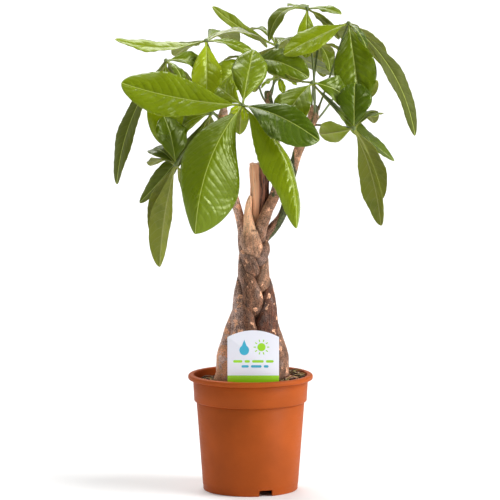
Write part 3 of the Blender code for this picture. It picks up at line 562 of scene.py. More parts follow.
def mix_plug(pot, mix):
    """Grid drawn out into a disc, roughened, with its rim carried down to the pot's floor."""
    piece = sheet("mix_plug", mix.cells, mix.cells)
    rim = inner_radius(pot, mix.level) - MIX_SEAT
    for vertex in piece.data.vertices:
        x, y = vertex.co.x, vertex.co.y
        round_x = x * math.sqrt(1 - y * y / 2) * rim
        round_y = y * math.sqrt(1 - x * x / 2) * rim
        vertex.co = (round_x, round_y, mix_height(pot, mix, round_x, round_y))
    edit(piece, "EDGE")
    bpy.ops.mesh.select_non_manifold()
    under_step = pot.step_height - MIX_STEP_BELOW
    neck = inner_radius(pot, under_step) - MIX_SEAT
    radius, height = rim, mix.level
    for next_radius, next_height in (
            (neck, pot.step_height + MIX_STEP_ABOVE), (neck, under_step),
            (inner_radius(pot, MIX_TAPER_TOP) - MIX_SEAT, MIX_TAPER_TOP),
            (inner_radius(pot, MIX_BOTTOM) - MIX_SEAT - MIX_TAPER, MIX_BOTTOM)):
        drop = (0, 0, next_height - height)
        bpy.ops.mesh.extrude_edges_move(TRANSFORM_OT_translate={"value": drop})
        # The first ring is also made level
        flat = 0 if height == mix.level else 1
        bpy.ops.transform.resize(value=(1, 1, flat), center_override=(0, 0, next_height))
        grown = next_radius / radius
        bpy.ops.transform.resize(value=(grown, grown, 1), center_override=(0, 0, next_height))
        radius, height = next_radius, next_height
    bpy.ops.mesh.edge_face_add()
    face_outwards()
    return piece


def chip_master():
    """One bark chip: a cube flattened, subdivided and broken out of true."""
    deselect()
    bpy.ops.mesh.primitive_cube_add(size=1, scale=CHIP_SIZE)
    piece = bpy.context.object
    bpy.ops.object.transform_apply(scale=True)
    edit(piece, "FACE", "SELECT")
    bpy.ops.mesh.subdivide(number_cuts=1)
    bpy.ops.transform.vertex_random(offset=0.0006, seed=3)
    bpy.ops.object.mode_set(mode="OBJECT")
    return piece


def fibre_master():
    """One coir fibre: a thin cube cut into a bent, tapered strand."""
    deselect()
    bpy.ops.mesh.primitive_cube_add(size=1, scale=FIBRE_SIZE)
    piece = bpy.context.object
    bpy.ops.object.transform_apply(scale=True)
    half = FIBRE_SIZE[0] / 2
    edit(piece, "EDGE")
    pick_edges(piece, half)
    bpy.ops.mesh.subdivide(number_cuts=FIBRE_CUTS)
    bpy.ops.object.mode_set(mode="OBJECT")
    for vertex in piece.data.vertices:
        share = vertex.co.x / half
        vertex.co.y *= 1.0 - 0.55 * share * share
        vertex.co.z += 0.0014 * (1 - share * share)
        vertex.co.y += 0.0011 * math.sin(2.6 * share)
    return piece


def shred_place(pot, mix, draw):
    """Place, turn and size of one chip or fibre; more lie on the right, where the mix is highest."""
    reach = inner_radius(pot, mix.level) - SCATTER_MARGIN
    turn = draw.choice((draw.uniform(0, math.tau), draw.gauss(0.35, 0.8)))
    away = reach * math.sqrt(draw.uniform(0.02, 1.0))
    x, y = away * math.cos(turn), away * math.sin(turn)
    size = draw.uniform(0.6, 1.2) + 0.3 * smooth(x, 0.01, 0.05)
    roll = Matrix.Rotation(draw.gauss(0, 0.45), 4, "X")
    pitch = Matrix.Rotation(draw.gauss(0, 0.26), 4, "Y")
    lift = draw.uniform(0.0, 0.0016)
    spin = Matrix.Rotation(draw.uniform(0, math.tau), 4, "Z")
    place = Matrix.Translation((x, y, mix_height(pot, mix, x, y) + lift))
    return place @ spin @ roll @ pitch @ Matrix.Scale(size, 4)


class MONEYTREE_OT_mix(bpy.types.Operator):
    """Fill the pot with coir and bark, and scatter chips and fibres over its top"""
    bl_idname = "money_tree.mix"
    bl_label = "Potting mix"

    def execute(self, context):
        pot, mix = context.scene.money_tree_pot, context.scene.money_tree_mix
        draw = random.Random(mix.seed)
        plug = mix_plug(pot, mix)
        plug.data.materials.append(mix_crumb(mix))
        paint(plug, "Tint", (0.05, 0.03, 0.02, 1.0))
        shreds = mix_shreds()
        pieces = [plug]
        for master, count in ((chip_master(), mix.chips), (fibre_master(), mix.fibres)):
            master.data.materials.append(shreds)
            for _ in range(count):
                copy = master.copy()
                copy.data = master.data.copy()
                context.scene.collection.objects.link(copy)
                copy.data.transform(shred_place(pot, mix, draw))
                colour = linear(draw.choice(SHRED_COLOURS))
                paint(copy, "Tint", [c * draw.uniform(0.7, 1.15) for c in colour[:3]] + [1.0])
                pieces.append(copy)
            bpy.data.objects.remove(master, do_unlink=True)
        settle(join(pieces), "potting_mix", 50.0)
        return {"FINISHED"}


# Plant label

LABEL_X = 0.0028
LABEL_Y = -0.0480
LABEL_THICKNESS = 0.0010
LABEL_BOTTOM = 0.1135
BAND_BOTTOM = LABEL_BOTTOM + 0.0004
LABEL_ROUNDING = 0.00022
ARCH_STEPS = 32
STAKE_WIDTH = 0.013
STAKE_TIP = 0.070
STAKE_SHOULDER = STAKE_TIP + STAKE_WIDTH * 0.6
# The print stands this far proud of the card; its places across are from the label's middle
PRINT_LIFT = 0.00008
DROP_X = -0.0092
DROP_HEIGHT = 0.1530
DROP_RADIUS = 0.0052
SUN_X = 0.0085
SUN_HEIGHT = 0.1562
SUN_RADIUS = 0.0042
SUN_RAYS = 10
RAY_REACH = 0.0068
RAY_LENGTH = 0.0026
RAY_WIDTH = 0.0011
BAR_WIDTH = 0.0026
BAR_SPACE = 0.0022
# Two lines of plain bars: their ink, height and left end, and the lengths of the bars in mm
PRINTED_LINES = (("lime", 0.1414, -0.0206, (9.5, 5.5, 12, 8)),
                 ("teal", 0.1362, -0.0121, (7.5, 11, 5)))


def label_card(settings):
    """White polystyrene label card: smooth, slightly glossy, with a faint rolled grain."""
    made, tree, shader = new_material("label_polystyrene", Base_Color=settings.card,
                                      Roughness=0.32, Subsurface_Weight=0.05,
                                      Subsurface_Scale=0.001)
    place = node(tree, "TexCoord").outputs["Object"]
    grain = node(tree, "TexNoise", place, Scale=per(0.9), Detail=2.0)
    rough = node(tree, "MapRange", grain, 0.3, 0.7, 0.28, 0.36)
    bump = node(tree, "Bump", Height=grain, Strength=0.04, Distance=0.0002)
    connect(tree, shader, Roughness=rough, Normal=bump)
    return made


def label_ink(name, colour):
    """Screen-printed ink: even, with a slight dot in it."""
    made, tree, shader = new_material(name, Roughness=0.38)
    place = node(tree, "TexCoord").outputs["Object"]
    dots = node(tree, "TexVoronoi", place, Scale=per(0.5))
    share = node(tree, "MapRange", dots, 0.0, 0.8, 1.0, 0.93)
    body = node(tree, "Mix", 1.0, colour, share, data_type="RGBA", blend_type="MULTIPLY")
    connect(tree, shader, Base_Color=body)
    return made


def thicken(piece, thickness):
    """Extrude a flat upright face to a closed plate."""
    edit(piece, "FACE", "SELECT")
    bpy.ops.mesh.extrude_region_move(TRANSFORM_OT_translate={"value": (0, thickness, 0)})
    face_outwards()


def flat_shape(name, points, y):
    """Upright flat face with an outline of (x, z) points: a circle drawn out to them."""
    deselect()
    bpy.ops.mesh.primitive_circle_add(vertices=len(points), radius=0.01, fill_type="NGON")
    piece = bpy.context.object
    piece.name = name
    for vertex, (x, z) in zip(piece.data.vertices, points):
        vertex.co = (x, y, z)
    return piece


def drop_points(x, z, radius):
    """Outline of a water drop."""
    points = [(x, z + 2.1 * radius)]
    for k in range(25):
        turn = math.radians(60 - 300 * k / 24)
        points.append((x + radius * math.cos(turn) * 0.96, z + radius * math.sin(turn)))
    return points


def disc_points(x, z, radius):
    """Outline of a disc."""
    return [(x + radius * math.cos(math.tau * k / 32), z + radius * math.sin(math.tau * k / 32))
            for k in range(32)]


def bar_points(x, z, width, height, turn=0.0):
    """Outline of a bar with round ends."""
    points = []
    for side, start in ((1, -90), (-1, 90)):
        for k in range(9):
            angle = math.radians(start + 180 * k / 8)
            along = side * (width - height) / 2 + height / 2 * math.cos(angle)
            up = height / 2 * math.sin(angle)
            points.append((x + along * math.cos(turn) - up * math.sin(turn),
                           z + along * math.sin(turn) + up * math.cos(turn)))
    return points


def label_print(label):
    """Plain print: a drop, a sun and two lines of bars, as thin raised ink."""
    sun_x = LABEL_X + SUN_X
    prints = [("teal", drop_points(LABEL_X + DROP_X, DROP_HEIGHT, DROP_RADIUS)),
              ("lime", disc_points(sun_x, SUN_HEIGHT, SUN_RADIUS))]
    for k in range(SUN_RAYS):
        turn = math.tau * k / SUN_RAYS
        ray_x = sun_x + RAY_REACH * math.cos(turn)
        ray_height = SUN_HEIGHT + RAY_REACH * math.sin(turn)
        prints.append(("lime", bar_points(ray_x, ray_height, RAY_LENGTH, RAY_WIDTH, turn)))
    for ink, height, left, bars in PRINTED_LINES:
        for wide in metres(bars):
            prints.append((ink, bar_points(LABEL_X + left + wide / 2, height, wide, BAR_WIDTH)))
            left += wide + BAR_SPACE
    inks = {"teal": label_ink("teal_print", label.teal), "lime": label_ink("lime_print", label.lime)}
    made = []
    front = LABEL_Y - LABEL_THICKNESS / 2
    for ink, points in prints:
        piece = flat_shape("print", points, front - PRINT_LIFT)
        piece.data.materials.append(inks[ink])
        thicken(piece, 2 * PRINT_LIFT)
        made.append(piece)
    return made, inks


class MONEYTREE_OT_label(bpy.types.Operator):
    """Cut the arched plant label with its stake, and print its band and plain care marks"""
    bl_idname = "money_tree.label"
    bl_label = "Plant label"

    def execute(self, context):
        label = context.scene.money_tree_label
        half = label.width / 2
        stake = STAKE_WIDTH / 2
        outline = [
            (LABEL_X - half, LABEL_BOTTOM), (LABEL_X - stake, LABEL_BOTTOM),
            (LABEL_X - stake, STAKE_SHOULDER), (LABEL_X, STAKE_TIP),
            (LABEL_X + stake, STAKE_SHOULDER), (LABEL_X + stake, LABEL_BOTTOM),
            (LABEL_X + half, LABEL_BOTTOM),
        ]
        # Shallow arch from the right shoulder to the left one
        for k in range(ARCH_STEPS + 1):
            share = 1 - 2 * k / ARCH_STEPS
            rise = (label.top - label.shoulder) * (1 - share * share)
            outline.append((LABEL_X + half * share, label.shoulder + rise))
        piece = flat_shape("card", outline, LABEL_Y - LABEL_THICKNESS / 2)
        thicken(piece, LABEL_THICKNESS)
        apply_modifier(piece, "BEVEL", width=LABEL_ROUNDING, segments=3, limit_method="ANGLE",
                       angle_limit=math.radians(60))
        edit(piece, "FACE", "SELECT")
        for cut in (label.band_top, BAND_BOTTOM):
            bpy.ops.mesh.select_all(action="SELECT")
            bpy.ops.mesh.bisect(plane_co=(0, 0, cut), plane_no=(0, 0, 1))
        bpy.ops.object.mode_set(mode="OBJECT")
        marks, inks = label_print(label)
        piece.data.materials.append(label_card(label))
        piece.data.materials.append(inks["lime"])
        for face in piece.data.polygons:
            face.material_index = int(LABEL_BOTTOM < face.center.z < label.band_top)
        settle(join([piece, *marks]), "plant_label", 35.0)
        return {"FINISHED"}


# Plaited stems

STEM_COUNT = 5
# Half width of the plait, and its middle, up its height
PLAIT_HALF_WIDTH = (
    (0.060, 0.0310), (0.110, 0.0395), (0.141, 0.0378), (0.168, 0.0300), (0.189, 0.0248),
    (0.210, 0.0202), (0.232, 0.0160), (0.262, 0.0156),
)
PLAIT_X = ((0.110, 0.0018), (0.168, 0.0020), (0.189, 0.0045), (0.235, 0.0030), (0.262, 0.0036))
# The whole plait is turned round its axis by this angle
PLAIT_TWIST = math.radians(20.0)
# A stem's reach from the middle and its radius, as shares of the half width, and its depth
REACH_SHARE = 0.59
THICKNESS_SHARE = 0.405
DEPTH_SHARE = 1.12
# Heights of the roots' end, of the top of the mix and of the plait's end
ROOT_END = 0.062
SOIL_LINE = 0.110
PLAIT_END = 0.262
PLAIT_STEPS = 20
# One turn of the plait takes this height where its half width is this, and more where it is wider
TURN_LENGTH = 0.116
TURN_WIDTH = 0.0160
TURN_POWER = 2.4
LAST_TURN = math.radians(450.0)
# The stem in front swells to a burl from this height
KNOTTED_STEM = 2
KNOT_START = 0.238
KNOT_GROWTH = 0.30
# Painted shade reaches this far from where two stems touch
CREASE_WIDTH = 0.0032
# The plait's strands swell by this factor, on to a shell that is harder the higher the power
SHELL_GROWTH = 1.18
SHELL_POWER = 8.0
# Heights between which the strands are pressed flat, crowd each other and swell to the burl:
# start, full, fading and end
PRESSED_SPAN = (0.108, 0.125, 0.236, 0.254)
CROWDED_SPAN = (0.120, 0.150, 0.245, 0.262)
BURL_SPAN = (0.240, 0.254, 0.258, 0.276)
# Heights where the shoots turn knobbly, and where the stub's saw cut turns rough
KNOB_SPAN = (0.372, 0.384)
SAW_CUT = (0.334, 0.3405)
# The bare stub shows its wood above this height, and its aged wood right of this x
BARE_FROM = 0.268
AGED_FROM = 0.0080
# The right shoot's green skin starts lower on its right side, by this slope
GREEN_SLOPE = 2.6
# The skin flakes left of this x, and most under this height; there it is also painted paler, as
# painted light from the left
FLAKY_AND_LIT_LEFT_OF = -0.006
FLAKY_AND_LIT_UNDER = 0.165
# Middle of the old cut on the burl, as x and z, and the spacing of its rings
BURL_FACE = (0.0016, 0.2530)
BURL_RINGS = 0.0026
# The burl ends in a torn edge
TORN_EDGE = 0.2735
# Splits of the stub: compass angle, half width in degrees, depth, height where it starts
STUB_SPLITS = (
    (-118.0, 3.5, 0.0010, 0.312), (-84.0, 4.0, 0.0018, 0.272), (-48.0, 5.0, 0.0044, 0.268),
    (-26.0, 8.0, 0.0022, 0.270), (30.0, 9.0, 0.0025, 0.280), (110.0, 10.0, 0.0028, 0.270),
    (170.0, 7.0, 0.0016, 0.285),
)
# Number of each stem in the plait, and where it goes above it, in mm: (x, y, z, radius)
STEM_TOPS = {
    "stem_left": (3, (
        (-8.5, 6, 275, 5.2), (-12.5, 3, 290, 4.6), (-18.5, -1, 312, 4.4), (-23.5, -6, 340, 4.4),
        (-26.5, -11, 370, 4.6), (-28, -14, 385, 5.6), (-28, -15, 395, 4.6), (-28, -15.2, 400, 2.6),
    )),
    "stem_stump": (2, (
        (0.2, -10.5, 270, 8), (-1, -8, 278, 6), (-2.6, -5.5, 289, 4.2), (-1.6, -4.2, 301, 3),
        (0, -3.6, 308.5, 1.2),
    )),
    "stem_stub": (1, (
        (6.5, 5, 276, 7.8), (9, 4.5, 290, 9.2), (9.6, 4, 310, 10), (9, 3.5, 328, 10.2),
        (8.8, 3, 341, 10.4),
    )),
    "stem_middle": (4, (
        (11, -8, 276, 6.6), (17, -7, 292, 5.8), (26, -2, 312, 5.2), (29, 9, 340, 4.4),
        (25, 21, 370, 3.8), (21, 31, 398, 3.6), (18, 35, 411, 3.4), (17.8, 35.2, 415, 2),
    )),
    "stem_right": (0, (
        (23.5, 2, 274, 5.6), (34, 4, 290, 4.2), (40.5, 5, 317, 3.8), (45.3, 5, 340, 4.6),
        (51, 5, 358, 5), (60, 5, 378, 4.6), (64, 5, 387, 5.4), (65.5, 5, 396, 5),
        (66, 5, 402, 2.6),
    )),
}
# Share of green skin up each shoot: (height, share)
GREEN = {
    "stem_left": ((0.385, 0.0), (0.400, 0.25)),
    "stem_middle": ((0.303, 0.0), (0.309, 0.55), (0.316, 0.3), (0.390, 0.35), (0.415, 0.6)),
    "stem_right": ((0.276, 0.0), (0.282, 1.0), (0.337, 0.95), (0.345, 0.3), (0.362, 0.2),
                   (0.402, 0.5)),
}
# Share of pale young bark up each stem
YOUNG = {
    "stem_left": ((0.262, 0.15), (0.290, 0.38)),
    "stem_stump": ((0.236, 0.0), (0.248, 0.42), (0.268, 0.42), (0.274, 1.0)),
    "stem_stub": ((0.262, 0.3), (0.280, 0.9)),
    "stem_middle": ((0.255, 0.15), (0.280, 0.28)),
    "stem_right": ((0.262, 0.1), (0.280, 0.3), (0.338, 0.3), (0.350, 0.55)),
}


def plait_turns():
    """Angle of the plait at each height, slower where the stems are thick or rooted."""
    heights = [(PLAIT_END, LAST_TURN)]
    step = (PLAIT_END - ROOT_END) / PLAIT_STEPS
    for _ in range(PLAIT_STEPS):
        height, turn = heights[-1]
        half = between(PLAIT_HALF_WIDTH, height)
        speed = math.tau / (TURN_LENGTH * (half / TURN_WIDTH) ** TURN_POWER)
        speed *= min(1.0, max(0.0, (height - ROOT_END) / (SOIL_LINE - ROOT_END)))
        heights.append((height - step, turn - speed * step))
    return heights[::-1]


def plait_path(number):
    """Points and radii of one stem, from its root end to the top of the plait."""
    path = []
    radii = []
    for height, turn in plait_turns():
        angle = turn + math.tau * number / STEM_COUNT
        half = between(PLAIT_HALF_WIDTH, height)
        reach = half * REACH_SHARE
        across = reach * math.sin(angle)
        deep = -reach * DEPTH_SHARE * math.sin(2 * angle)
        path.append(Vector((
            across * math.cos(PLAIT_TWIST) - deep * math.sin(PLAIT_TWIST) + between(PLAIT_X, height),
            across * math.sin(PLAIT_TWIST) + deep * math.cos(PLAIT_TWIST),
            height,
        )))
        swell = 1.0
        if number == KNOTTED_STEM and height > KNOT_START:
            swell += KNOT_GROWTH * (height - KNOT_START) / (PLAIT_END - KNOT_START)
        radii.append(half * THICKNESS_SHARE * swell)
    return path, radii


def stem_path(name):
    """Whole path of a stem with its radii, as rows of four numbers."""
    number, top = STEM_TOPS[name]
    path, radii = plait_path(number)
    rows = [Vector((*point, radius)) for point, radius in zip(path, radii)]
    return rows + [Vector(metres(row)) for row in top]


def even_rows(rows, spacing):
    """The same path through its points, smooth, with evenly spaced rows."""
    fine = curve_through(rows, 24)
    made = [fine[0]]
    gone = 0.0
    for low, high in zip(fine, fine[1:]):
        gone += (high.xyz - low.xyz).length
        if gone >= spacing:
            made.append(high)
            gone = 0.0
    if made[-1] is not fine[-1]:
        made[-1] = fine[-1]
    return made


def bark_skin(settings):
    """Young Pachira bark: grey-brown skin, cracked lengthwise, flaking to orange-tan."""
    made, tree, shader = new_material("pachira_bark", Roughness=0.78, Specular_IOR_Level=0.35)
    grain = node(tree, "Attribute", attribute_name="Grain").outputs["Vector"]
    growth = node(tree, "Attribute", attribute_name="Growth")
    # Blue carries the painted shade in the creases between stems and towards the mix
    green, young, dark = node(tree, "SeparateColor", growth).outputs[:3]
    # Alpha: flaking, dusty skin low and on the left, which also paints the left side paler as painted
    # light from the left
    dry = growth.outputs["Alpha"]
    # Lengthwise fissures, 1.4 mm apart and eight times as long
    long_way = node(tree, "Mapping", grain, Scale=(1.0, 1.0, 0.12))
    ridge = node(tree, "TexNoise", long_way, Scale=per(1.4), Detail=5.0, Roughness=0.62)
    body = node(tree, "ValToRGB", ridge,
                stops=((0.37, "#36170d"), (0.63, "#a4755a"), (0.5, settings.bark)))
    # Broad patches of silvery skin and of red-brown skin
    blotch = node(tree, "TexNoise", grain, Scale=per(13), Detail=4.0)
    silver = node(tree, "MapRange", blotch, 0.48, 0.64, 0.0, 0.65)
    # Dark speckles of 1 mm, and brown clouds of 6 mm
    speckle = node(tree, "TexNoise", grain, Scale=per(1.1), Detail=2.0, Roughness=0.7)
    dots = node(tree, "MapRange", speckle, 0.38, 0.58, 0.38, 1.2)
    clouds = node(tree, "TexNoise", grain, Scale=per(6), Detail=3.0)
    depth = node(tree, "MapRange", clouds, 0.38, 0.60, 0.62, 1.12)
    mottle = node(tree, "Math", dots, depth, operation="MULTIPLY")
    # Young bark is paler and warmer, and its colours are painted lighter still, as painted light on
    # the front of the stump
    young_bark_lit = node(tree, "ValToRGB", ridge,
                 stops=((0.32, "#cd946d"), (0.68, "#ffe2c2"), (0.5, "#fdc297")))
    # Dusty, paler skin where flakes come off, with chalky specks of 1 mm on it; on the left it is also
    # painted light from the left
    dust = node(tree, "MapRange", blotch, 0.40, 0.58, 0.50, 1.1)
    dust_and_left_light = node(tree, "Math", dust, dry, operation="MULTIPLY")
    specks = node(tree, "MapRange", speckle, 0.48, 0.58, 0.0, 0.95)
    chalk = node(tree, "Math", specks, dry, operation="MULTIPLY")
    # Flakes where the skin has peeled to orange-tan
    flake = node(tree, "TexNoise", grain, Scale=per(9), Detail=4.0, Roughness=0.55)
    loose = node(tree, "Math", dry, 0.16, flake, operation="MULTIPLY_ADD")
    peeled = node(tree, "MapRange", loose, 0.612, 0.632)
    # Lenticels: dark dashes across the stem, 2.6 mm apart
    cross_way = node(tree, "Mapping", grain, Scale=(0.55, 0.55, 1.5))
    pores = node(tree, "TexVoronoi", cross_way, Scale=per(2.6), Randomness=0.9)
    dash = node(tree, "MapRange", pores, 0.10, 0.20, 0.6, 0.0)
    # Green skin of the shoots, with brown corky patches
    patch = node(tree, "TexNoise", long_way, Scale=per(3.2), Detail=3.0)
    spread = node(tree, "Math", patch, green, operation="ADD")
    cover = node(tree, "MapRange", spread, 0.92, 1.02)
    skin = node(tree, "ValToRGB", ridge, stops=((0.3, "#3d4526"), (0.7, "#6c7048")))
    # Each of these layers lies over those before it
    for share, colour in ((silver, linear("#88746c")), (young, young_bark_lit), (dust_and_left_light, linear("#fdd3c4")),
                          (chalk, linear("#f0dcd4")), (peeled, linear("#f8bb94")),
                          (dash, linear("#20110b")), (cover, skin)):
        body = node(tree, "Mix", share, body, colour, data_type="RGBA")
    # Painted shade in the creases between stems and darker towards the mix, and a mottle that is
    # calmer on pale skin
    shade = node(tree, "MapRange", dark, 0.0, 1.0, 1.0, 0.10)
    pale = node(tree, "Math", dry, 0.35, young, operation="MULTIPLY_ADD")
    calm = node(tree, "MapRange", pale, 0.2, 1.0, 0.0, 0.85)
    mottled = node(tree, "Mix", calm, mottle, 1.0)
    spotted = node(tree, "Math", mottled, shade, operation="MULTIPLY")
    final = node(tree, "Mix", 1.0, body, spotted, data_type="RGBA", blend_type="MULTIPLY")
    low = node(tree, "Bump", Height=ridge, Strength=0.75, Distance=0.0005)
    mid = node(tree, "Bump", Height=peeled, Strength=0.6, Distance=0.0002, Normal=low, invert=True)
    pitted = node(tree, "Bump", Height=dash, Strength=0.5, Distance=0.0003, Normal=mid, invert=True)
    connect(tree, shader, Base_Color=final, Normal=pitted)
    return made


def bare_wood(settings):
    """Sawn and weathered wood of the stub: salmon-brown, with dark lengthwise splits."""
    made, tree, shader = new_material("weathered_pachira_wood", Roughness=0.68,
                                      Specular_IOR_Level=0.35)
    grain = node(tree, "Attribute", attribute_name="Grain").outputs["Vector"]
    growth = node(tree, "Attribute", attribute_name="Growth")
    aged, _, dark = node(tree, "SeparateColor", growth).outputs[:3]
    long_way = node(tree, "Mapping", grain, Scale=(1.0, 1.0, 0.07))
    fibre = node(tree, "TexNoise", long_way, Scale=per(1.1), Detail=5.0, Roughness=0.6)
    wood = node(tree, "ValToRGB", fibre,
                stops=((0.30, "#b57a5a"), (0.64, "#ffe2bd"), (0.48, settings.wood)))
    broad = node(tree, "TexNoise", long_way, Scale=per(6), Detail=2.0)
    warm = node(tree, "MapRange", broad, 0.42, 0.62)
    body = node(tree, "Mix", warm, wood, linear("#d39874"), data_type="RGBA")
    # The weathered side is darker, with black-brown cracks
    cracked = node(tree, "ValToRGB", fibre,
                   stops=((0.42, "#2e160e"), (0.62, "#b07c60"), (0.50, "#7b4b34")))
    sides = node(tree, "Mix", aged, body, cracked, data_type="RGBA")
    # Painted shade in the creases where the stub meets the other stems
    shade = node(tree, "MapRange", dark, 0.0, 1.0, 1.0, 0.12)
    final = node(tree, "Mix", 1.0, sides, shade, data_type="RGBA", blend_type="MULTIPLY")
    bump = node(tree, "Bump", Height=fibre, Strength=0.6, Distance=0.0004)
    connect(tree, shader, Base_Color=final, Normal=bump)
    return made


def press_flat(spot):
    """Move a point of the plait on to one flat shell, as on stems that grew pressed together."""
    share = within(spot.z, *PRESSED_SPAN)
    if share <= 0:
        return spot
    half = between(PLAIT_HALF_WIDTH, spot.z)
    x = spot.x - between(PLAIT_X, spot.z)
    away = math.hypot(x, spot.y) / half
    flat = SHELL_GROWTH / (1 + (SHELL_GROWTH * away) ** SHELL_POWER) ** (1 / SHELL_POWER)
    scale = share * (flat - 1)
    return spot + Vector((x * scale, spot.y * scale, 0.0))


def burl_relief(point, out, radius, lump):
    """Swelling above the plait, with the wrinkled rings of an old cut on its front."""
    grown = within(point.z, *BURL_SPAN)
    height = grown * (0.0030 + 0.0012 * lump) * (0.55 + 0.45 * abs(out.x))
    spot = point + out * radius
    away = math.hypot(spot.x - BURL_FACE[0], spot.z - BURL_FACE[1])
    front = smooth(-out.y, 0.1, 0.6)
    rings = math.sin(away * math.tau / BURL_RINGS + 3.0 * lump)
    dished = 0.00034 * rings - 0.0008 * (1 - smooth(away, 0.0, 0.006))
    height += front * (1 - smooth(away, 0.007, 0.012)) * dished
    # Torn edge where the burl ends
    crack = math.exp(-((point.z - TORN_EDGE + 0.001 * out.x) / 0.0007) ** 2)
    height -= 0.0014 * crack * smooth(out.x, -0.2, 0.3) * front
    return height


def stub_relief(point, out, lump):
    """Splits and flat faces of the weathered stub above the plait."""
    bare = smooth(point.z, BARE_FROM, BARE_FROM + 0.014)
    azimuth = math.degrees(math.atan2(out.y, out.x))
    height = 0.0006 * math.sin(math.radians(azimuth) * 5 + 1.0) + 0.0010 * lump
    for middle, width, depth, low in STUB_SPLITS:
        across = (azimuth - middle + 180) % 360 - 180 + 160 * (point.z - 0.32) + 12 * lump
        height -= depth * math.exp(-(across / width) ** 2) * smooth(point.z, low, low + 0.012)
    return height * bare


def bark_relief(name, strength):
    """How far the bark stands out at a point of a stem."""
    number = STEM_TOPS[name][0]

    def relief(turn, run, radius, row, point, out):
        spot = Vector((radius * math.cos(turn), radius * math.sin(turn), run))
        offset = Vector((number * 0.37, 0.0, 0.0))
        # Lumps, cracks, fine grain and long folds, each stretched along the stem
        lump, ridge, fine, fold = (
            noise.noise(Vector((spot.x * cross, spot.y * cross, spot.z * along)) + offset)
            for cross, along in ((85, 45), (420, 60), (900, 260), (240, 26)))
        # Flakes of old skin
        flake = smooth(noise.noise(spot * 190 + offset), 0.05, 0.16)
        height = (lump * 0.055 * radius + (0.35 - abs(fold)) * 0.05 * radius + ridge * 0.00034
                  + fine * 0.00014 + flake * 0.00020)
        # Stems press together in the plait
        height += 0.05 * radius * within(point.z, *CROWDED_SPAN)
        if name == "stem_stump":
            height += burl_relief(point, out, radius, lump)
        if name == "stem_stub":
            height += stub_relief(point, out, lump)
        if name in GREEN:
            knob = smooth(point.z, *KNOB_SPAN)
            scar = noise.noise(spot * 300 + offset)
            height += knob * max(0.0, scar) * 0.0014
        return height * strength

    return relief


def growth_colours(name, rows, spots, others):
    """Share of green skin, of young bark and of painted crease shade for each vertex of a stem."""
    heights = np.array([row.z for row in rows])
    nearest = np.abs(heights[None, :] - spots[:, 2:3]).argmin(axis=1)
    if name == "stem_stub":
        # For its wood the first share is that of aged, darker wood, on the right of its front
        aged = np.clip((spots[:, 0] - AGED_FROM) / 0.0012, 0, 1) * (spots[:, 2] > BARE_FROM)
    if name == "stem_right":
        # The green skin starts lower on the right side
        middle = np.array([row.x for row in rows])[nearest]
        raised = spots[:, 2] + GREEN_SLOPE * (spots[:, 0] - middle)
        nearest = np.abs(heights[None, :] - raised[:, None]).argmin(axis=1)
    green = np.array([between(GREEN[name], z) if name in GREEN else 0.0 for z in heights])
    young = np.array([between(YOUNG[name], z) for z in heights])
    # Gap to the skin of the nearest other stem
    gap = np.full(len(spots), 1.0)
    for row in others:
        away = np.sqrt((spots[:, 0] - row.x) ** 2 + (spots[:, 1] - row.y) ** 2
                       + (spots[:, 2] - row.z) ** 2) - row.w
        gap = np.minimum(gap, away)
    crease = 1 - np.clip((gap + 0.0006) / CREASE_WIDTH, 0, 1)
    if name == "stem_stump":
        # Dark crack where the stump tears off the burl
        height = TORN_EDGE - 0.0007 + 0.25 * np.abs(spots[:, 0] - 0.0045)
        torn = np.exp(-((spots[:, 2] - height) / 0.0009) ** 2) * (spots[:, 0] > 0.0005)
        crease = np.maximum(crease, 0.95 * torn)
    buried = 1 - np.clip((spots[:, 2] - SOIL_LINE) / 0.012, 0, 1)
    # Painted shade: darkest in the creases where stems touch, and darker towards the mix
    dark = np.maximum(crease ** 1.2, 0.7 * buried)
    first = aged if name == "stem_stub" else green[nearest]
    # Skin flakes most low on the left, and on the left all the way up the plait; this share also
    # paints the left side paler, as painted light from the left
    low = np.clip((FLAKY_AND_LIT_UNDER - spots[:, 2]) / 0.03, 0, 1)
    dry = np.clip((FLAKY_AND_LIT_LEFT_OF - spots[:, 0]) / 0.010, 0, 1) * (0.35 + 0.65 * low)
    return np.stack([first, young[nearest], dark, dry], axis=1)


class MONEYTREE_OT_stems(bpy.types.Operator):
    """Roll the five stems round their plaited paths and give them their bark"""
    bl_idname = "money_tree.stems"
    bl_label = "Plaited stems"

    def execute(self, context):
        settings = context.scene.money_tree_stems
        bark = bark_skin(settings)
        wood = bare_wood(settings)
        for name in STEM_TOPS:
            rows = even_rows(stem_path(name), settings.ring_spacing)
            path = [row.xyz for row in rows]
            radii = [row.w for row in rows]
            piece = rolled(name, path, radii, settings.sides, bark_relief(name, settings.relief),
                           press_flat)
            spots = np.array([vertex.co for vertex in piece.data.vertices])
            others = [row for other in STEM_TOPS if other != name
                      for row in even_rows(stem_path(other), 0.003)]
            paint(piece, "Growth", growth_colours(name, rows, spots, others))
            piece.data.materials.append(bark)
            piece.data.materials.append(wood)
            if name == "stem_stub":
                # Saw marks and torn fibres leave the top uneven
                for vertex in piece.data.vertices:
                    rough = noise.noise(vertex.co * 260) + 0.5 * noise.noise(vertex.co * 900)
                    vertex.co.z += 0.0014 * rough * smooth(vertex.co.z, *SAW_CUT)
                for face in piece.data.polygons:
                    face.material_index = int(face.center.z > BARE_FROM)
            settle(piece, name, 60.0)
        return {"FINISHED"}


# Leaves

# Share of a leaflet's length that is bare stalk, and the shape of the blade beyond it: its
# widest place lies further on with more skew, and more fullness makes it slimmer
BLADE_STALK = 0.05
BLADE_SKEW = 1.34
BLADE_FULLNESS = 0.8
TIP_BLUNTNESS = 0.22
PETIOLULE_WIDTH = 0.0024
PETIOLULE_THICKNESS = 0.0018
HUB_RADIUS = 0.0024
# Fold of a blade along its midrib, in degrees
FOLD = 6.0
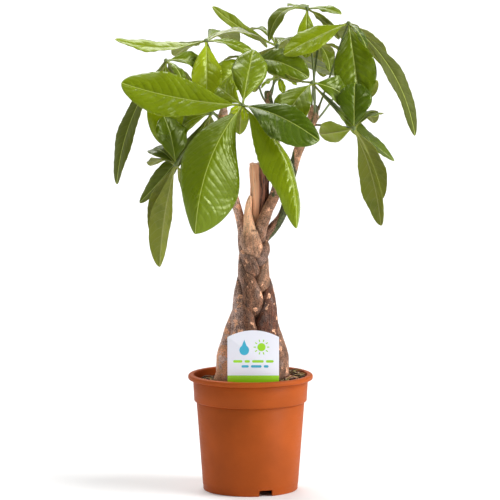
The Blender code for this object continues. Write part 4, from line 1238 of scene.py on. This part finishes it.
# A blade's edge waves slowly, and is crimped by this share of its half width
WAVE_HEIGHT = 0.0011
WAVES = 2.5
EDGE_CRIMP = 0.018
# Above 1 where a sheet's columns stand closer near its midrib
COLUMN_CLOSENESS = 1.45
# The left half's side veins leave this much later, as a share of their spacing
VEIN_STAGGER = 0.35
CROSS_VEIN_SPACING = 0.0078
MIDRIB_WIDTH = 0.0008
MIDRIB_GROOVE = 0.00018
MIDRIB_HEIGHT = 0.0011
# Stalk: its radii, how far out it starts, where its upper bend lies and how far it climbs,
# as shares of its reach
STALK_RADIUS = 0.0011
STALK_FOOT = 0.0019
STALK_LEAN = 0.16
STALK_ELBOW = 0.62
CLIMB = 0.06
STALK_STEPS = 36
STALK_SIDES = 12
LEAF_SEED = 11
# Blade sheets from small to large: longest leaflet that each is for, cells across and along
SHEETS = ((0.045, 8, 34), (0.080, 16, 84), (1.0, 24, 150))


def leaf(stem, height, turn, lift, hub, *leaflets, climb=CLIMB):
    """One leaf, in mm and degrees: where its stalk grows from, and its hub and leaflets.

    lift raises the stalk's upper bend; climb is how steeply it leaves the stem, as a share of
    its reach.
    """
    return {"stem": stem, "height": height / 1000, "turn": turn, "lift": lift / 1000,
            "hub": Vector(metres(hub)), "leaflets": leaflets, "climb": climb}


def leaflet(x, y, z, width, rise, roll=0, sway=0, lit=0, dull=0, **extras):
    """One leaflet, in mm and degrees: its tip, its width, its bend and its colour.

    rise is how far its middle stands off the straight line from hub to tip, on the upper side,
    and sway the same to the right; roll turns the upper face to the right. lit is the share of
    yellow-green in its colour: painted light coming through the leaflet, with a younger leaf's
    paler tone. dull is the share of dull olive, and a dull below 0 is the share of chalky grey,
    a painted pale sheen. Extras: uneven widens the right half and narrows the left by that
    share, most near the tip; tilt widens the right half near the hub and the left one near the
    tip; fold is above 0 where the edges stand up; skew is lower for a leaflet that is widest
    nearer to its hub; arch takes the place of the setting of that name.
    """
    return {"tip": Vector(metres((x, y, z))), "width": width / 1000, "rise": rise / 1000,
            "roll": roll, "sway": sway / 1000, "lit": lit, "dull": dull, **extras}


LEAVES = {
    "leaf_front": leaf(
        "stem_left", 380, -70, 4, (-8, -85, 407),
        leaflet(-130, -80, 429, 50, -4, -56, sway=-3, lit=0.3),
        leaflet(-55, -130, 281, 70, 15, -45, sway=10.5, lit=0.24, uneven=0, tilt=0.9, fold=-28,
                skew=1.15, arch=0.015),
        leaflet(46, -122, 286, 54, 16, 12, sway=-8, lit=0.35, uneven=0, tilt=0.7, fold=-38,
                skew=1.12),
        leaflet(68.5, -120, 373.5, 44, 10, 46, uneven=0.24),
        leaflet(3, -35, 461, 37, 5, 12, lit=0.24, uneven=0, fold=-12),
        leaflet(-11, -58, 375.5, 18, 6, lit=0.5, dull=-0.5),
        leaflet(-33, -54, 424, 28, 6, -60, lit=0.38),
        leaflet(-21, -90, 397, 8, 2, -40, lit=0.9),
        leaflet(-6, -90, 391, 8, 2, lit=0.9)),
    "leaf_left_upper": leaf(
        "stem_left", 391, 170, 10, (-87, -20, 449),
        leaflet(-137, -38, 323, 25, 14, -24, lit=0.12, dull=0.8),
        leaflet(-86, -36, 362, 38, 8, lit=0.5),
        leaflet(-45, 2, 434, 30, 10, 40, lit=0.15),
        leaflet(-68, -45, 426, 12, 5, lit=0.2),
        leaflet(-98, 50, 386, 28, 8, lit=0.2),
        leaflet(-62, 52, 388, 30, 10, lit=0.2)),
    "leaf_left_top": leaf(
        "stem_left", 397, 60, 10, (-46, -2, 469),
        leaflet(-140, 6, 470, 30, -8.5, -18, lit=0.5),
        leaflet(-45, -40, 406, 32, 6, -6, lit=0.75),
        leaflet(17, 44, 460, 22, 14, 12, lit=0.3, dull=-0.9),
        leaflet(6, -4, 449, 22, 7, 26, lit=0.3),
        leaflet(-80, 78, 450, 24, 4, lit=0.3),
        leaflet(-16, 100, 460, 28, 12, lit=0.2)),
    "leaf_back_top": leaf(
        "stem_middle", 408, 60, 8, (28, 62, 461),
        leaflet(-40, 72, 502, 15, -6, -45, lit=0.55, dull=0.4),
        leaflet(-4, 112, 474, 14, 10, lit=0.2),
        leaflet(50, 140, 440, 34, 16, lit=0.2),
        leaflet(44, 86, 424, 22, 10, lit=0.1, dull=0.3),
        leaflet(4, 98, 410, 28, 14, lit=0.1)),
    "leaf_back_right": leaf(
        "stem_right", 400, 80, 16, (59, 45, 501),
        leaflet(19, 25, 467, 18, 17, -18, lit=0.3, dull=0.5),
        leaflet(46, 108, 503, 22, 0, lit=0.3),
        leaflet(95, 34, 495, 16, 3, 20, lit=0.3),
        leaflet(58, 18, 450, 19, 6, lit=0.55),
        leaflet(94, 88, 467, 16, 4, lit=0.2)),
    "leaf_right_upper": leaf(
        "stem_right", 397, 10, 4, (101, -5, 487),
        leaflet(34, -25, 455, 29, 3, -48, lit=0.4),
        leaflet(112, -30, 405, 44, 8, 26, lit=0.16),
        leaflet(169, -25, 372, 24, 18, 30, dull=0.9),
        leaflet(140, 66, 440, 26, 6, lit=0.1),
        leaflet(118, -40, 463, 10, 4),
        leaflet(104, 92, 462, 24, 6, lit=0.2), climb=0.42),
    "leaf_right_inner": leaf(
        "stem_right", 393, -80, 2, (63, -50, 428),
        leaflet(32, -72, 388, 42, 4, -25, lit=0.2),
        leaflet(103, -30, 405, 38, 7, 56, lit=0.05),
        leaflet(149, -5, 345, 33, -4, 38, lit=0.1, dull=0.2),
        leaflet(18, -20, 437, 11, -2, 40, lit=0.2, dull=-0.8)),
    "leaf_left_inner": leaf(
        "stem_left", 387.5, -120, 3, (-40, -35, 396),
        leaflet(-78, -20, 371, 40, 6, -40, lit=0.45),
        leaflet(-115, -5, 301, 26, -4, -55, lit=0.25, dull=0.6),
        leaflet(-72, 12, 376, 24, 8, lit=0.2),
        leaflet(-48, 8, 345, 22, 8, lit=0.2)),
    "leaf_left_low": leaf(
        "stem_left", 374, -160, 18, (-76, -62, 345),
        leaflet(-88, -50, 393, 43, 3, lit=0.05),
        leaflet(-94, -22, 236, 29, 8, dull=0.6, uneven=0, fold=34),
        leaflet(-98, 2, 263, 26, 10, -10, dull=0.6),
        leaflet(-101, -24, 358, 26, 6, -20, lit=0.1, dull=0.3),
        leaflet(-104, 6, 339, 22, 6, lit=0.1, dull=0.3),
        leaflet(-54, 2, 290, 24, 6, lit=0.1, dull=0.3)),
    "leaf_right_low": leaf(
        "stem_right", 383, 0, 1, (105, -62, 382),
        leaflet(106, -50, 427, 35, 3),
        leaflet(135, -22, 279, 29, 8, dull=0.5, uneven=0, fold=-30),
        leaflet(135, 0, 303, 26, 10, dull=0.5),
        leaflet(72, 6, 372, 24, -3, 68, lit=0.9),
        leaflet(134, -22, 394, 24, 6, lit=0.1, dull=0.3),
        leaflet(128, 10, 383, 22, 14, lit=0.1, dull=0.2)),
    "leaf_centre": leaf(
        "stem_middle", 404, 200, 10, (0, 6, 446),
        leaflet(60, -30, 432, 33, 16, 52, lit=0.15),
        leaflet(55, 20, 424, 18, 8, lit=0.1, dull=0.2),
        leaflet(-24, 52, 420, 26, 10, lit=0.1),
        leaflet(-37, -26, 420, 36, 8, -50, lit=0.4),
        leaflet(-28, 14, 446, 14, 6, lit=0.2)),
    "leaf_right_middle": leaf(
        "stem_right", 390, 100, 10, (71, 48, 464),
        leaflet(83, 30, 435, 15, 5, lit=0.3, dull=0.3),
        leaflet(102, 62, 446, 16, 6, lit=0.2),
        leaflet(50, 96, 454, 26, 10, lit=0.2),
        leaflet(78, 110, 426, 28, 12, lit=0.2)),
    "leaf_back_low": leaf(
        "stem_right", 386, 45, 6, (106, 62, 427),
        leaflet(48, 64, 450, 14, -3, -64, lit=0.3, dull=-0.8),
        leaflet(128, 108, 404, 28, 10, lit=0.2),
        leaflet(96, 126, 396, 28, 12, lit=0.2),
        leaflet(118, 52, 392, 20, 6, lit=0.1, dull=0.3)),
    "leaf_young": leaf(
        "stem_middle", 412, -60, 3, (29, 20, 431),
        leaflet(11, 10, 419, 10, 2, lit=0.9),
        leaflet(48, 12, 422, 10, 2, lit=0.9),
        leaflet(34, 0, 414, 8, 2, lit=0.9),
        leaflet(26, 40, 424, 8, 3, lit=0.9)),
}


def leaf_upper(settings):
    """Upper side of a Pachira leaflet: waxed, glossy green, with pale sunken veins."""
    made, tree, shader = new_material(
        "waxed_leaf_upper", Roughness=0.30, IOR=1.45, Specular_Tint=linear("#f4ffc0"),
        Subsurface_Weight=0.30, Subsurface_Radius=(0.85, 1.0, 0.08), Subsurface_Scale=0.0011)
    place = node(tree, "TexCoord").outputs["Object"]
    own = node(tree, "Attribute", attribute_name="Tint")
    lit, dull, chalky = node(tree, "SeparateColor", own).outputs[:3]
    number, away = node(tree, "SeparateXYZ", node(tree, "UVMap", uv_map="Veins")).outputs[:2]
    # Clouds of deeper green, 22 mm across, and a fine mottle between the smallest veins
    cloud = node(tree, "TexNoise", place, Scale=per(22), Detail=3.0)
    deep = node(tree, "ValToRGB", cloud,
                stops=((0.30, "#3a4f01"), (0.70, "#526a04"), (0.5, settings.upper)))
    mottle = node(tree, "TexVoronoi", place, Scale=per(1.3))
    speck = node(tree, "MapRange", mottle, 0.0, 0.8, 1.07, 0.90)
    body = node(tree, "Mix", 1.0, deep, speck, data_type="RGBA", blend_type="MULTIPLY")
    # Side veins lie at whole numbers, and away is the distance from the midrib in centimetres
    near = node(tree, "Math", number, 0.5, operation="PINGPONG")
    line = node(tree, "MapRange", near, 0.01, 0.05, 0.15, 0.0)
    rib = node(tree, "MapRange", away, 0.022, 0.055, 0.85, 0.0)
    # Painted light coming through (with a younger, paler tone), old or turned leaves, chalky grey ones
    # that are a painted pale sheen, side veins and the midrib
    for share, colour in ((lit, "#a3b40c"), (dull, "#4c5210"), (chalky, "#9ea184"),
                          (line, "#8fa03c"), (rib, "#b3bf62")):
        body = node(tree, "Mix", share, body, linear(colour), data_type="RGBA")
    gloss = node(tree, "MapRange", cloud, 0.3, 0.7, 0.22, 0.33)
    rough = node(tree, "Math", dull, 0.35, gloss, operation="MULTIPLY_ADD")
    puffed = node(tree, "MapRange", near, 0.0, 0.26, interpolation_type="SMOOTHSTEP")
    groove = node(tree, "Bump", Height=puffed, Strength=0.16, Distance=0.0009)
    pebble = node(tree, "Bump", Height=mottle, Strength=0.10, Distance=0.0002, Normal=groove)
    connect(tree, shader, Base_Color=body, Roughness=rough, Normal=pebble)
    return made


def leaf_under(settings):
    """Underside of a leaflet: matt grey-olive, with raised paler veins."""
    made, tree, shader = new_material(
        "matt_leaf_underside", Roughness=0.62, IOR=1.38, Subsurface_Weight=0.35,
        Subsurface_Radius=(0.85, 1.0, 0.10), Subsurface_Scale=0.0012)
    place = node(tree, "TexCoord").outputs["Object"]
    own = node(tree, "Attribute", attribute_name="Tint")
    lit = node(tree, "SeparateColor", own)
    number, away = node(tree, "SeparateXYZ", node(tree, "UVMap", uv_map="Veins")).outputs[:2]
    cloud = node(tree, "TexNoise", place, Scale=per(14), Detail=4.0)
    body = node(tree, "ValToRGB", cloud,
                stops=((0.30, "#646c10"), (0.70, "#8d9238"), (0.5, settings.under)))
    near = node(tree, "Math", number, 0.5, operation="PINGPONG")
    line = node(tree, "MapRange", near, 0.015, 0.06, 0.4, 0.0)
    rib = node(tree, "MapRange", away, 0.04, 0.08, 0.8, 0.0)
    # Light coming through, side veins and the midrib
    for share, colour in ((lit, "#8c9c20"), (line, "#8d9052"), (rib, "#9a9d5a")):
        body = node(tree, "Mix", share, body, linear(colour), data_type="RGBA")
    raised = node(tree, "Bump", Height=near, Strength=0.35, Distance=0.0006, invert=True)
    connect(tree, shader, Base_Color=body, Normal=raised)
    return made


def leaf_stalk(settings):
    """Leaf stalk: smooth dark green, browner at its swollen foot."""
    made, tree, shader = new_material("leaf_stalk_skin", Roughness=0.45, Subsurface_Weight=0.1,
                                      Subsurface_Scale=0.001)
    grain = node(tree, "Attribute", attribute_name="Grain").outputs["Vector"]
    along = node(tree, "SeparateXYZ", grain).outputs[2]
    stretched = node(tree, "Mapping", grain, Scale=(1.0, 1.0, 0.15))
    streak = node(tree, "TexNoise", stretched, Scale=per(1.2), Detail=3.0)
    skin = node(tree, "ValToRGB", streak, stops=((0.3, "#465523"), (0.7, "#76853f")))
    foot = node(tree, "MapRange", along, 0.002, 0.008, 0.8, 0.0)
    body = node(tree, "Mix", foot, skin, linear("#74503a"), data_type="RGBA")
    bump = node(tree, "Bump", Height=streak, Strength=0.25, Distance=0.0002)
    connect(tree, shader, Base_Color=body, Normal=bump)
    return made


def blade_sheet(across, along, finishes):
    """One leaflet pressed flat: a grid with an underside, from -1 to 1 and from hub to tip."""
    piece = sheet("blade_sheet", across, along)
    for finish in finishes:
        piece.data.materials.append(finish)
    apply_modifier(piece, "SOLIDIFY", thickness=1.0, offset=-1.0, material_offset=1,
                   material_offset_rim=1)
    piece.data.uv_layers.new(name="Veins")
    return piece


def blade_outline(share, skew):
    """Half width of a leaflet along its length, as a share of its greatest half width."""
    blade_share = max(0.0, share - BLADE_STALK) / (1.0 - BLADE_STALK)
    fullness = BLADE_FULLNESS - TIP_BLUNTNESS * smooth(blade_share, 0.45, 0.95)
    return max(0.0, math.sin(math.pi * blade_share ** skew)) ** fullness


def blade_curve(hub, shape, steps):
    """Point, side, face, half width and outline of a leaflet at each step along it."""
    tip = shape["tip"]
    along = (tip - hub).normalized()
    top = (UP - along * along.z).normalized()
    top = Matrix.Rotation(math.radians(shape["roll"]), 3, along) @ top
    right = along.cross(top)
    start = hub + along * HUB_RADIUS * 0.4
    middle = (start + tip) / 2 + top * shape["rise"] * 2 + right * shape["sway"] * 2
    rows = []
    for k in range(steps + 1):
        t = k / steps
        point = start * (1 - t) ** 2 + middle * 2 * t * (1 - t) + tip * t * t
        slope = ((middle - start) * (1 - t) + (tip - middle) * t).normalized()
        side = (right - slope * right.dot(slope)).normalized()
        outline = blade_outline(t, shape.get("skew", BLADE_SKEW))
        least = PETIOLULE_WIDTH / 2 * (1 - smooth(t, 0.0, 0.9) * 0.85)
        half = max(shape["width"] / 2 * outline, least)
        rows.append((*point, *side, *side.cross(slope), half, outline, t))
    return np.array(rows)


def vein_bulges(a, half, wave_of, draw):
    """Fields between side veins: no two bulge alike, and cross veins break each one up."""
    b = np.abs(a)
    field = np.floor(wave_of).astype(int) + 20 * (a >= 0) + 20
    swell = np.array([draw.uniform(0.35, 1.45) for _ in range(80)])[field]
    swell = swell * np.where(a >= 0, draw.uniform(0.6, 1.2), draw.uniform(0.6, 1.2))
    cross = np.array([draw.uniform(0.0, math.tau) for _ in range(80)])[field]
    bulge = swell * np.abs(np.sin(np.pi * wave_of)) ** 0.8
    bulge = bulge * (0.76 + 0.48 * np.sin(b * half * math.tau / CROSS_VEIN_SPACING + cross))
    return np.minimum(half, 0.022) * bulge * np.clip(b / 0.12, 0, 1) * (1 - b ** 6)


def map_veins(mesh, master, phase, apart):
    """Fill the vein map: number of the side vein, and distance from the midrib in centimetres."""
    loops = np.empty(len(mesh.loops), dtype=np.int32)
    mesh.loops.foreach_get("vertex_index", loops)
    middle = np.array([polygon.center.x for polygon in master.data.polygons])
    sizes = np.array([polygon.loop_total for polygon in mesh.polygons])
    stagger = np.where(np.repeat(middle < 0, sizes), VEIN_STAGGER, 0.0)
    marks = np.stack([phase[loops] + stagger, apart[loops] * 100], axis=1)
    mesh.uv_layers["Veins"].data.foreach_set("uv", marks.astype(np.float32).ravel())


def bend_leaflet(name, hub, shape, masters, settings, draw):
    """A copy of the flat sheet, bent and quilted into one leaflet."""
    reach = (shape["tip"] - hub).length
    master, across, along = next(row[1:] for row in masters if reach <= row[0])
    piece = master.copy()
    piece.data = master.data.copy()
    piece.name = name
    bpy.context.scene.collection.objects.link(piece)
    mesh = piece.data
    flat = np.empty(len(mesh.vertices) * 3, dtype=np.float32)
    mesh.vertices.foreach_get("co", flat)
    flat = flat.reshape(-1, 3).astype(float)
    rows = blade_curve(hub, shape, along)
    row = rows[np.rint((flat[:, 1] + 1) / 2 * along).astype(int)]
    point, side, face = row[:, 0:3], row[:, 3:6], row[:, 6:9]
    half, outline, t = row[:, 9], row[:, 10], row[:, 11]
    # Columns stand closer near the midrib
    a = np.sign(flat[:, 0]) * np.abs(flat[:, 0]) ** COLUMN_CLOSENESS
    b = np.abs(a)
    # One half may be wider than the other
    uneven = shape["uneven"] if "uneven" in shape else draw.uniform(-0.06, 0.06)
    fold = math.radians(shape.get("fold", FOLD))
    wider = uneven * (0.4 + 1.2 * t) + shape.get("tilt", 0.0) * (0.42 - t)
    half = half * (1 + wider * np.sign(a))
    # Side veins leave the midrib slanting forward and curve on to the tip
    count = max(5, min(15, round(reach / settings.vein_spacing)))
    slant = shape["width"] / 2 / reach * (0.62 * b + 0.45 * b ** 2.5)
    phase = count * (t - slant) + draw.uniform(0.0, 1.0)
    body = np.minimum(1.0, outline * 1.6)
    wave_of = np.where(a >= 0, phase, phase + VEIN_STAGGER)
    apart = b * half
    quilt = settings.quilt * vein_bulges(a, half, wave_of, draw) * body
    crimp = EDGE_CRIMP * half * np.cos(2 * np.pi * wave_of) * b ** 4 * body
    ridge = np.exp(-(apart / MIDRIB_WIDTH) ** 2)
    groove = -MIDRIB_GROOVE * ridge * body
    wave = WAVE_HEIGHT * np.minimum(1, half / 0.016) * np.sin(math.tau * WAVES * t) * outline
    # Each half arches a little, and the whole blade is slightly out of true
    arch = shape.get("arch", settings.arch) * half * 4 * b * (1 - b)
    bent = [draw.uniform(0.0, math.tau) for _ in range(2)]
    warp = 0.0009 * np.sin(math.tau * 1.4 * t + 2.2 * a + bent[0]) * outline * b
    warp = warp + 0.0005 * np.sin(math.tau * 3.1 * t - 3.0 * a + bent[1]) * outline * b
    lift = half * math.sin(fold) * b ** 1.15 - wave * np.sign(a) * b ** 1.5
    upper = lift + arch + quilt + groove + crimp + warp
    # Below the blade: its thickness, more at the root, and the midrib
    root = np.clip(1 - t / 0.07, 0, 1)
    thick = settings.thickness + (PETIOLULE_THICKNESS - settings.thickness) * root
    rib = (MIDRIB_HEIGHT * (1 - t) + 0.0002) * ridge * (1 - root)
    under = np.where(flat[:, 2] < -0.5, thick + rib, 0.0)
    spots = (point + side * (a * half * math.cos(fold))[:, None]
             + face * (upper - under)[:, None])
    mesh.vertices.foreach_set("co", spots.astype(np.float32).ravel())
    map_veins(mesh, master, phase, apart)
    # Tint: painted light coming through with a younger tone, dull olive, and chalky grey as a painted
    # pale sheen
    lit = max(0.0, shape["lit"] + draw.uniform(-0.04, 0.06))
    paint(piece, "Tint", (lit, max(0.0, shape["dull"]), max(0.0, -shape["dull"]), 1.0))
    return piece


def stalk_foot(stem, height, turn):
    """Point just inside a stem's skin, on the side that a compass turn in degrees gives."""
    rows = even_rows(stem_path(stem), 0.002)
    for low, high in zip(rows, rows[1:]):
        if low.z <= height <= high.z:
            centre = low.xyz.lerp(high.xyz, (height - low.z) / (high.z - low.z))
            along = (high.xyz - low.xyz).normalized()
            radius = low.w
            break
    heading = Vector((math.cos(math.radians(turn)), math.sin(math.radians(turn)), 0.0))
    out = (heading - along * heading.dot(along)).normalized()
    return centre + out * radius * 0.8, out


def stalk(name, plan, finish):
    """Leaf stalk from a swollen foot in the bark up to the hub, where it swells again."""
    hub = plan["hub"]
    foot, out = stalk_foot(plan["stem"], plan["height"], plan["turn"])
    reach = (hub - foot).length
    bend_low = foot + out * reach * STALK_LEAN + UP * reach * plan["climb"]
    bend_high = foot.lerp(hub, STALK_ELBOW) + UP * plan["lift"]
    path = []
    radii = []
    for k in range(STALK_STEPS + 1):
        t = k / STALK_STEPS
        path.append(foot * (1 - t) ** 3 + bend_low * 3 * t * (1 - t) ** 2
                    + bend_high * 3 * t * t * (1 - t) + hub * t ** 3)
        swollen = (STALK_FOOT - STALK_RADIUS) * (1 - smooth(t * reach, 0.001, 0.006))
        hubbed = (HUB_RADIUS - STALK_RADIUS) * smooth(t * reach, reach - 0.005, reach)
        radii.append(STALK_RADIUS + swollen + hubbed)
    # Round off past the hub
    ahead = (path[-1] - path[-2]).normalized()
    for k in range(1, 6):
        turn = math.radians(18 * k - 2)
        path.append(hub + ahead * HUB_RADIUS * 0.8 * math.sin(turn))
        radii.append(HUB_RADIUS * math.cos(turn))
    piece = rolled(name, path, radii, STALK_SIDES)
    piece.data.materials.append(finish)
    piece.data.uv_layers.new(name="Veins")
    paint(piece, "Tint", (0.0, 0.0, 0.0, 1.0))
    return piece


class MONEYTREE_OT_leaves(bpy.types.Operator):
    """Bend copies of one flat leaflet into fans and join each fan with its stalk"""
    bl_idname = "money_tree.leaves"
    bl_label = "Leaves"

    def execute(self, context):
        settings = context.scene.money_tree_leaves
        finishes = (leaf_upper(settings), leaf_under(settings))
        rod = leaf_stalk(settings)
        masters = [(reach, blade_sheet(across, along, finishes), across, along)
                   for reach, across, along in SHEETS]
        draw = random.Random(LEAF_SEED)
        for name, plan in LEAVES.items():
            pieces = [bend_leaflet(f"{name}_{k}", plan["hub"], shape, masters, settings, draw)
                      for k, shape in enumerate(plan["leaflets"])]
            pieces.append(stalk(name + "_stalk", plan, rod))
            settle(join(pieces), name, 80.0)
        for row in masters:
            bpy.data.objects.remove(row[1], do_unlink=True)
        return {"FINISHED"}


# Stage

CAMERA_PLACE = (0.0, -3.0, 0.574)
CAMERA_PITCH = math.radians(6.14)
CAMERA_SHIFT = -0.001
SENSOR_WIDTH = 36.0
# Size of the floor's clouds in mm
FLOOR_CLOUDS = 2000 / 3
# Far softboxes: name, direction that the light comes from, strength, apparent width in degrees
SOFTBOXES = (
    ("key_softbox", (0.80, -0.15, 0.62), 2.1, 26.0),
    ("side_softbox", (0.87, -0.46, 0.22), 1.5, 15.0),
    ("back_softbox", (-0.15, 0.60, 0.80), 1.9, 42.0),
    ("edge_softbox", (-0.95, 0.15, 0.28), 0.25, 24.0),
    ("top_softbox", (-0.24, -0.30, 0.92), 0.5, 14.0),
)


def pale_floor():
    """Painted studio floor: matt and near white, with faint clouds."""
    made, tree, shader = new_material("pale_floor_paint", Roughness=0.9, Specular_IOR_Level=0.1)
    place = node(tree, "TexCoord").outputs["Object"]
    cloud = node(tree, "TexNoise", place, Scale=per(FLOOR_CLOUDS))
    ramp = node(tree, "ValToRGB", cloud, stops=((0.3, grey(0.86)), (0.7, grey(0.88))))
    connect(tree, shader, Base_Color=ramp)
    return made


def hang_softbox(scene, name, source, strength, width):
    """Light that is as soft as a box of that apparent width."""
    lamp = bpy.data.lights.new(name, "SUN")
    lamp.energy = strength
    lamp.angle = math.radians(width)
    holder = bpy.data.objects.new(name, lamp)
    holder.location = Vector(source) * 2
    holder.rotation_euler = Vector(source).to_track_quat("Z", "Y").to_euler()
    scene.collection.objects.link(holder)


def light_room(scene, settings):
    """White room, dim on the camera's side and bright behind the plant."""
    scene.world = bpy.data.worlds.new("white_room")
    scene.world.use_nodes = True
    tree = scene.world.node_tree
    around = node(tree, "TexCoord").outputs["Generated"]
    depth = node(tree, "SeparateXYZ", around).outputs[1]
    glow = node(tree, "MapRange", depth, -0.5, 0.6, settings.front, settings.back)
    connect(tree, tree.nodes["Background"], Color=linear("#ffffff"), Strength=glow)


def aim_camera(scene, settings):
    """Camera at the photograph's place, with everything sharp."""
    lens = bpy.data.cameras.new("camera")
    lens.sensor_width = SENSOR_WIDTH
    lens.lens = settings.focal
    lens.shift_x = CAMERA_SHIFT
    lens.dof.use_dof = False
    camera = bpy.data.objects.new("camera", lens)
    camera.location = CAMERA_PLACE
    camera.rotation_euler = (math.pi / 2 - CAMERA_PITCH, 0, 0)
    scene.collection.objects.link(camera)
    scene.camera = camera


class MONEYTREE_OT_stage(bpy.types.Operator):
    """Lay the pale floor, hang the softboxes and set up the camera"""
    bl_idname = "money_tree.stage"
    bl_label = "Stage"

    def execute(self, context):
        scene, settings = context.scene, context.scene.money_tree_stage
        deselect()
        bpy.ops.mesh.primitive_plane_add(size=settings.floor_size)
        floor = bpy.context.object
        floor.name = "floor"
        floor.data.materials.append(pale_floor())
        for softbox in SOFTBOXES:
            hang_softbox(scene, *softbox)
        light_room(scene, settings)
        aim_camera(scene, settings)
        scene.view_settings.view_transform = "Standard"
        scene.view_settings.look = "None"
        return {"FINISHED"}


class MONEYTREE_PT_parts(bpy.types.Panel):
    """Lists the pieces of the tree and their settings"""
    bl_label = "Money Tree"
    bl_idname = "MONEYTREE_PT_parts"
    bl_space_type = "VIEW_3D"
    bl_region_type = "UI"
    bl_category = "Money Tree"

    def draw(self, context):
        for group, operator in STEPS:
            box = self.layout.box()
            box.operator(operator)
            settings = getattr(context.scene, group)
            for name in settings.__annotations__:
                box.prop(settings, name)


GROUPS = {
    "money_tree_pot": PotSettings, "money_tree_mix": MixSettings,
    "money_tree_label": LabelSettings, "money_tree_stems": StemSettings,
    "money_tree_leaves": LeafSettings, "money_tree_stage": StageSettings,
}
STEPS = tuple((group, group.replace("money_tree_", "money_tree.")) for group in GROUPS)
CLASSES = (
    *GROUPS.values(), MONEYTREE_OT_pot, MONEYTREE_OT_mix, MONEYTREE_OT_label,
    MONEYTREE_OT_stems, MONEYTREE_OT_leaves, MONEYTREE_OT_stage, MONEYTREE_PT_parts,
)


def register():
    for item in CLASSES:
        bpy.utils.register_class(item)
    for name, group in GROUPS.items():
        setattr(bpy.types.Scene, name, PointerProperty(type=group))


def unregister():
    for name in GROUPS:
        delattr(bpy.types.Scene, name)
    for item in reversed(CLASSES):
        bpy.utils.unregister_class(item)


def main():
    """Register the add-on and make every piece in order."""
    register()
    for _, operator in STEPS:
        family, step = operator.split(".")
        getattr(getattr(bpy.ops, family), step)()
    deselect()


if __name__ == "__main__":
    main()
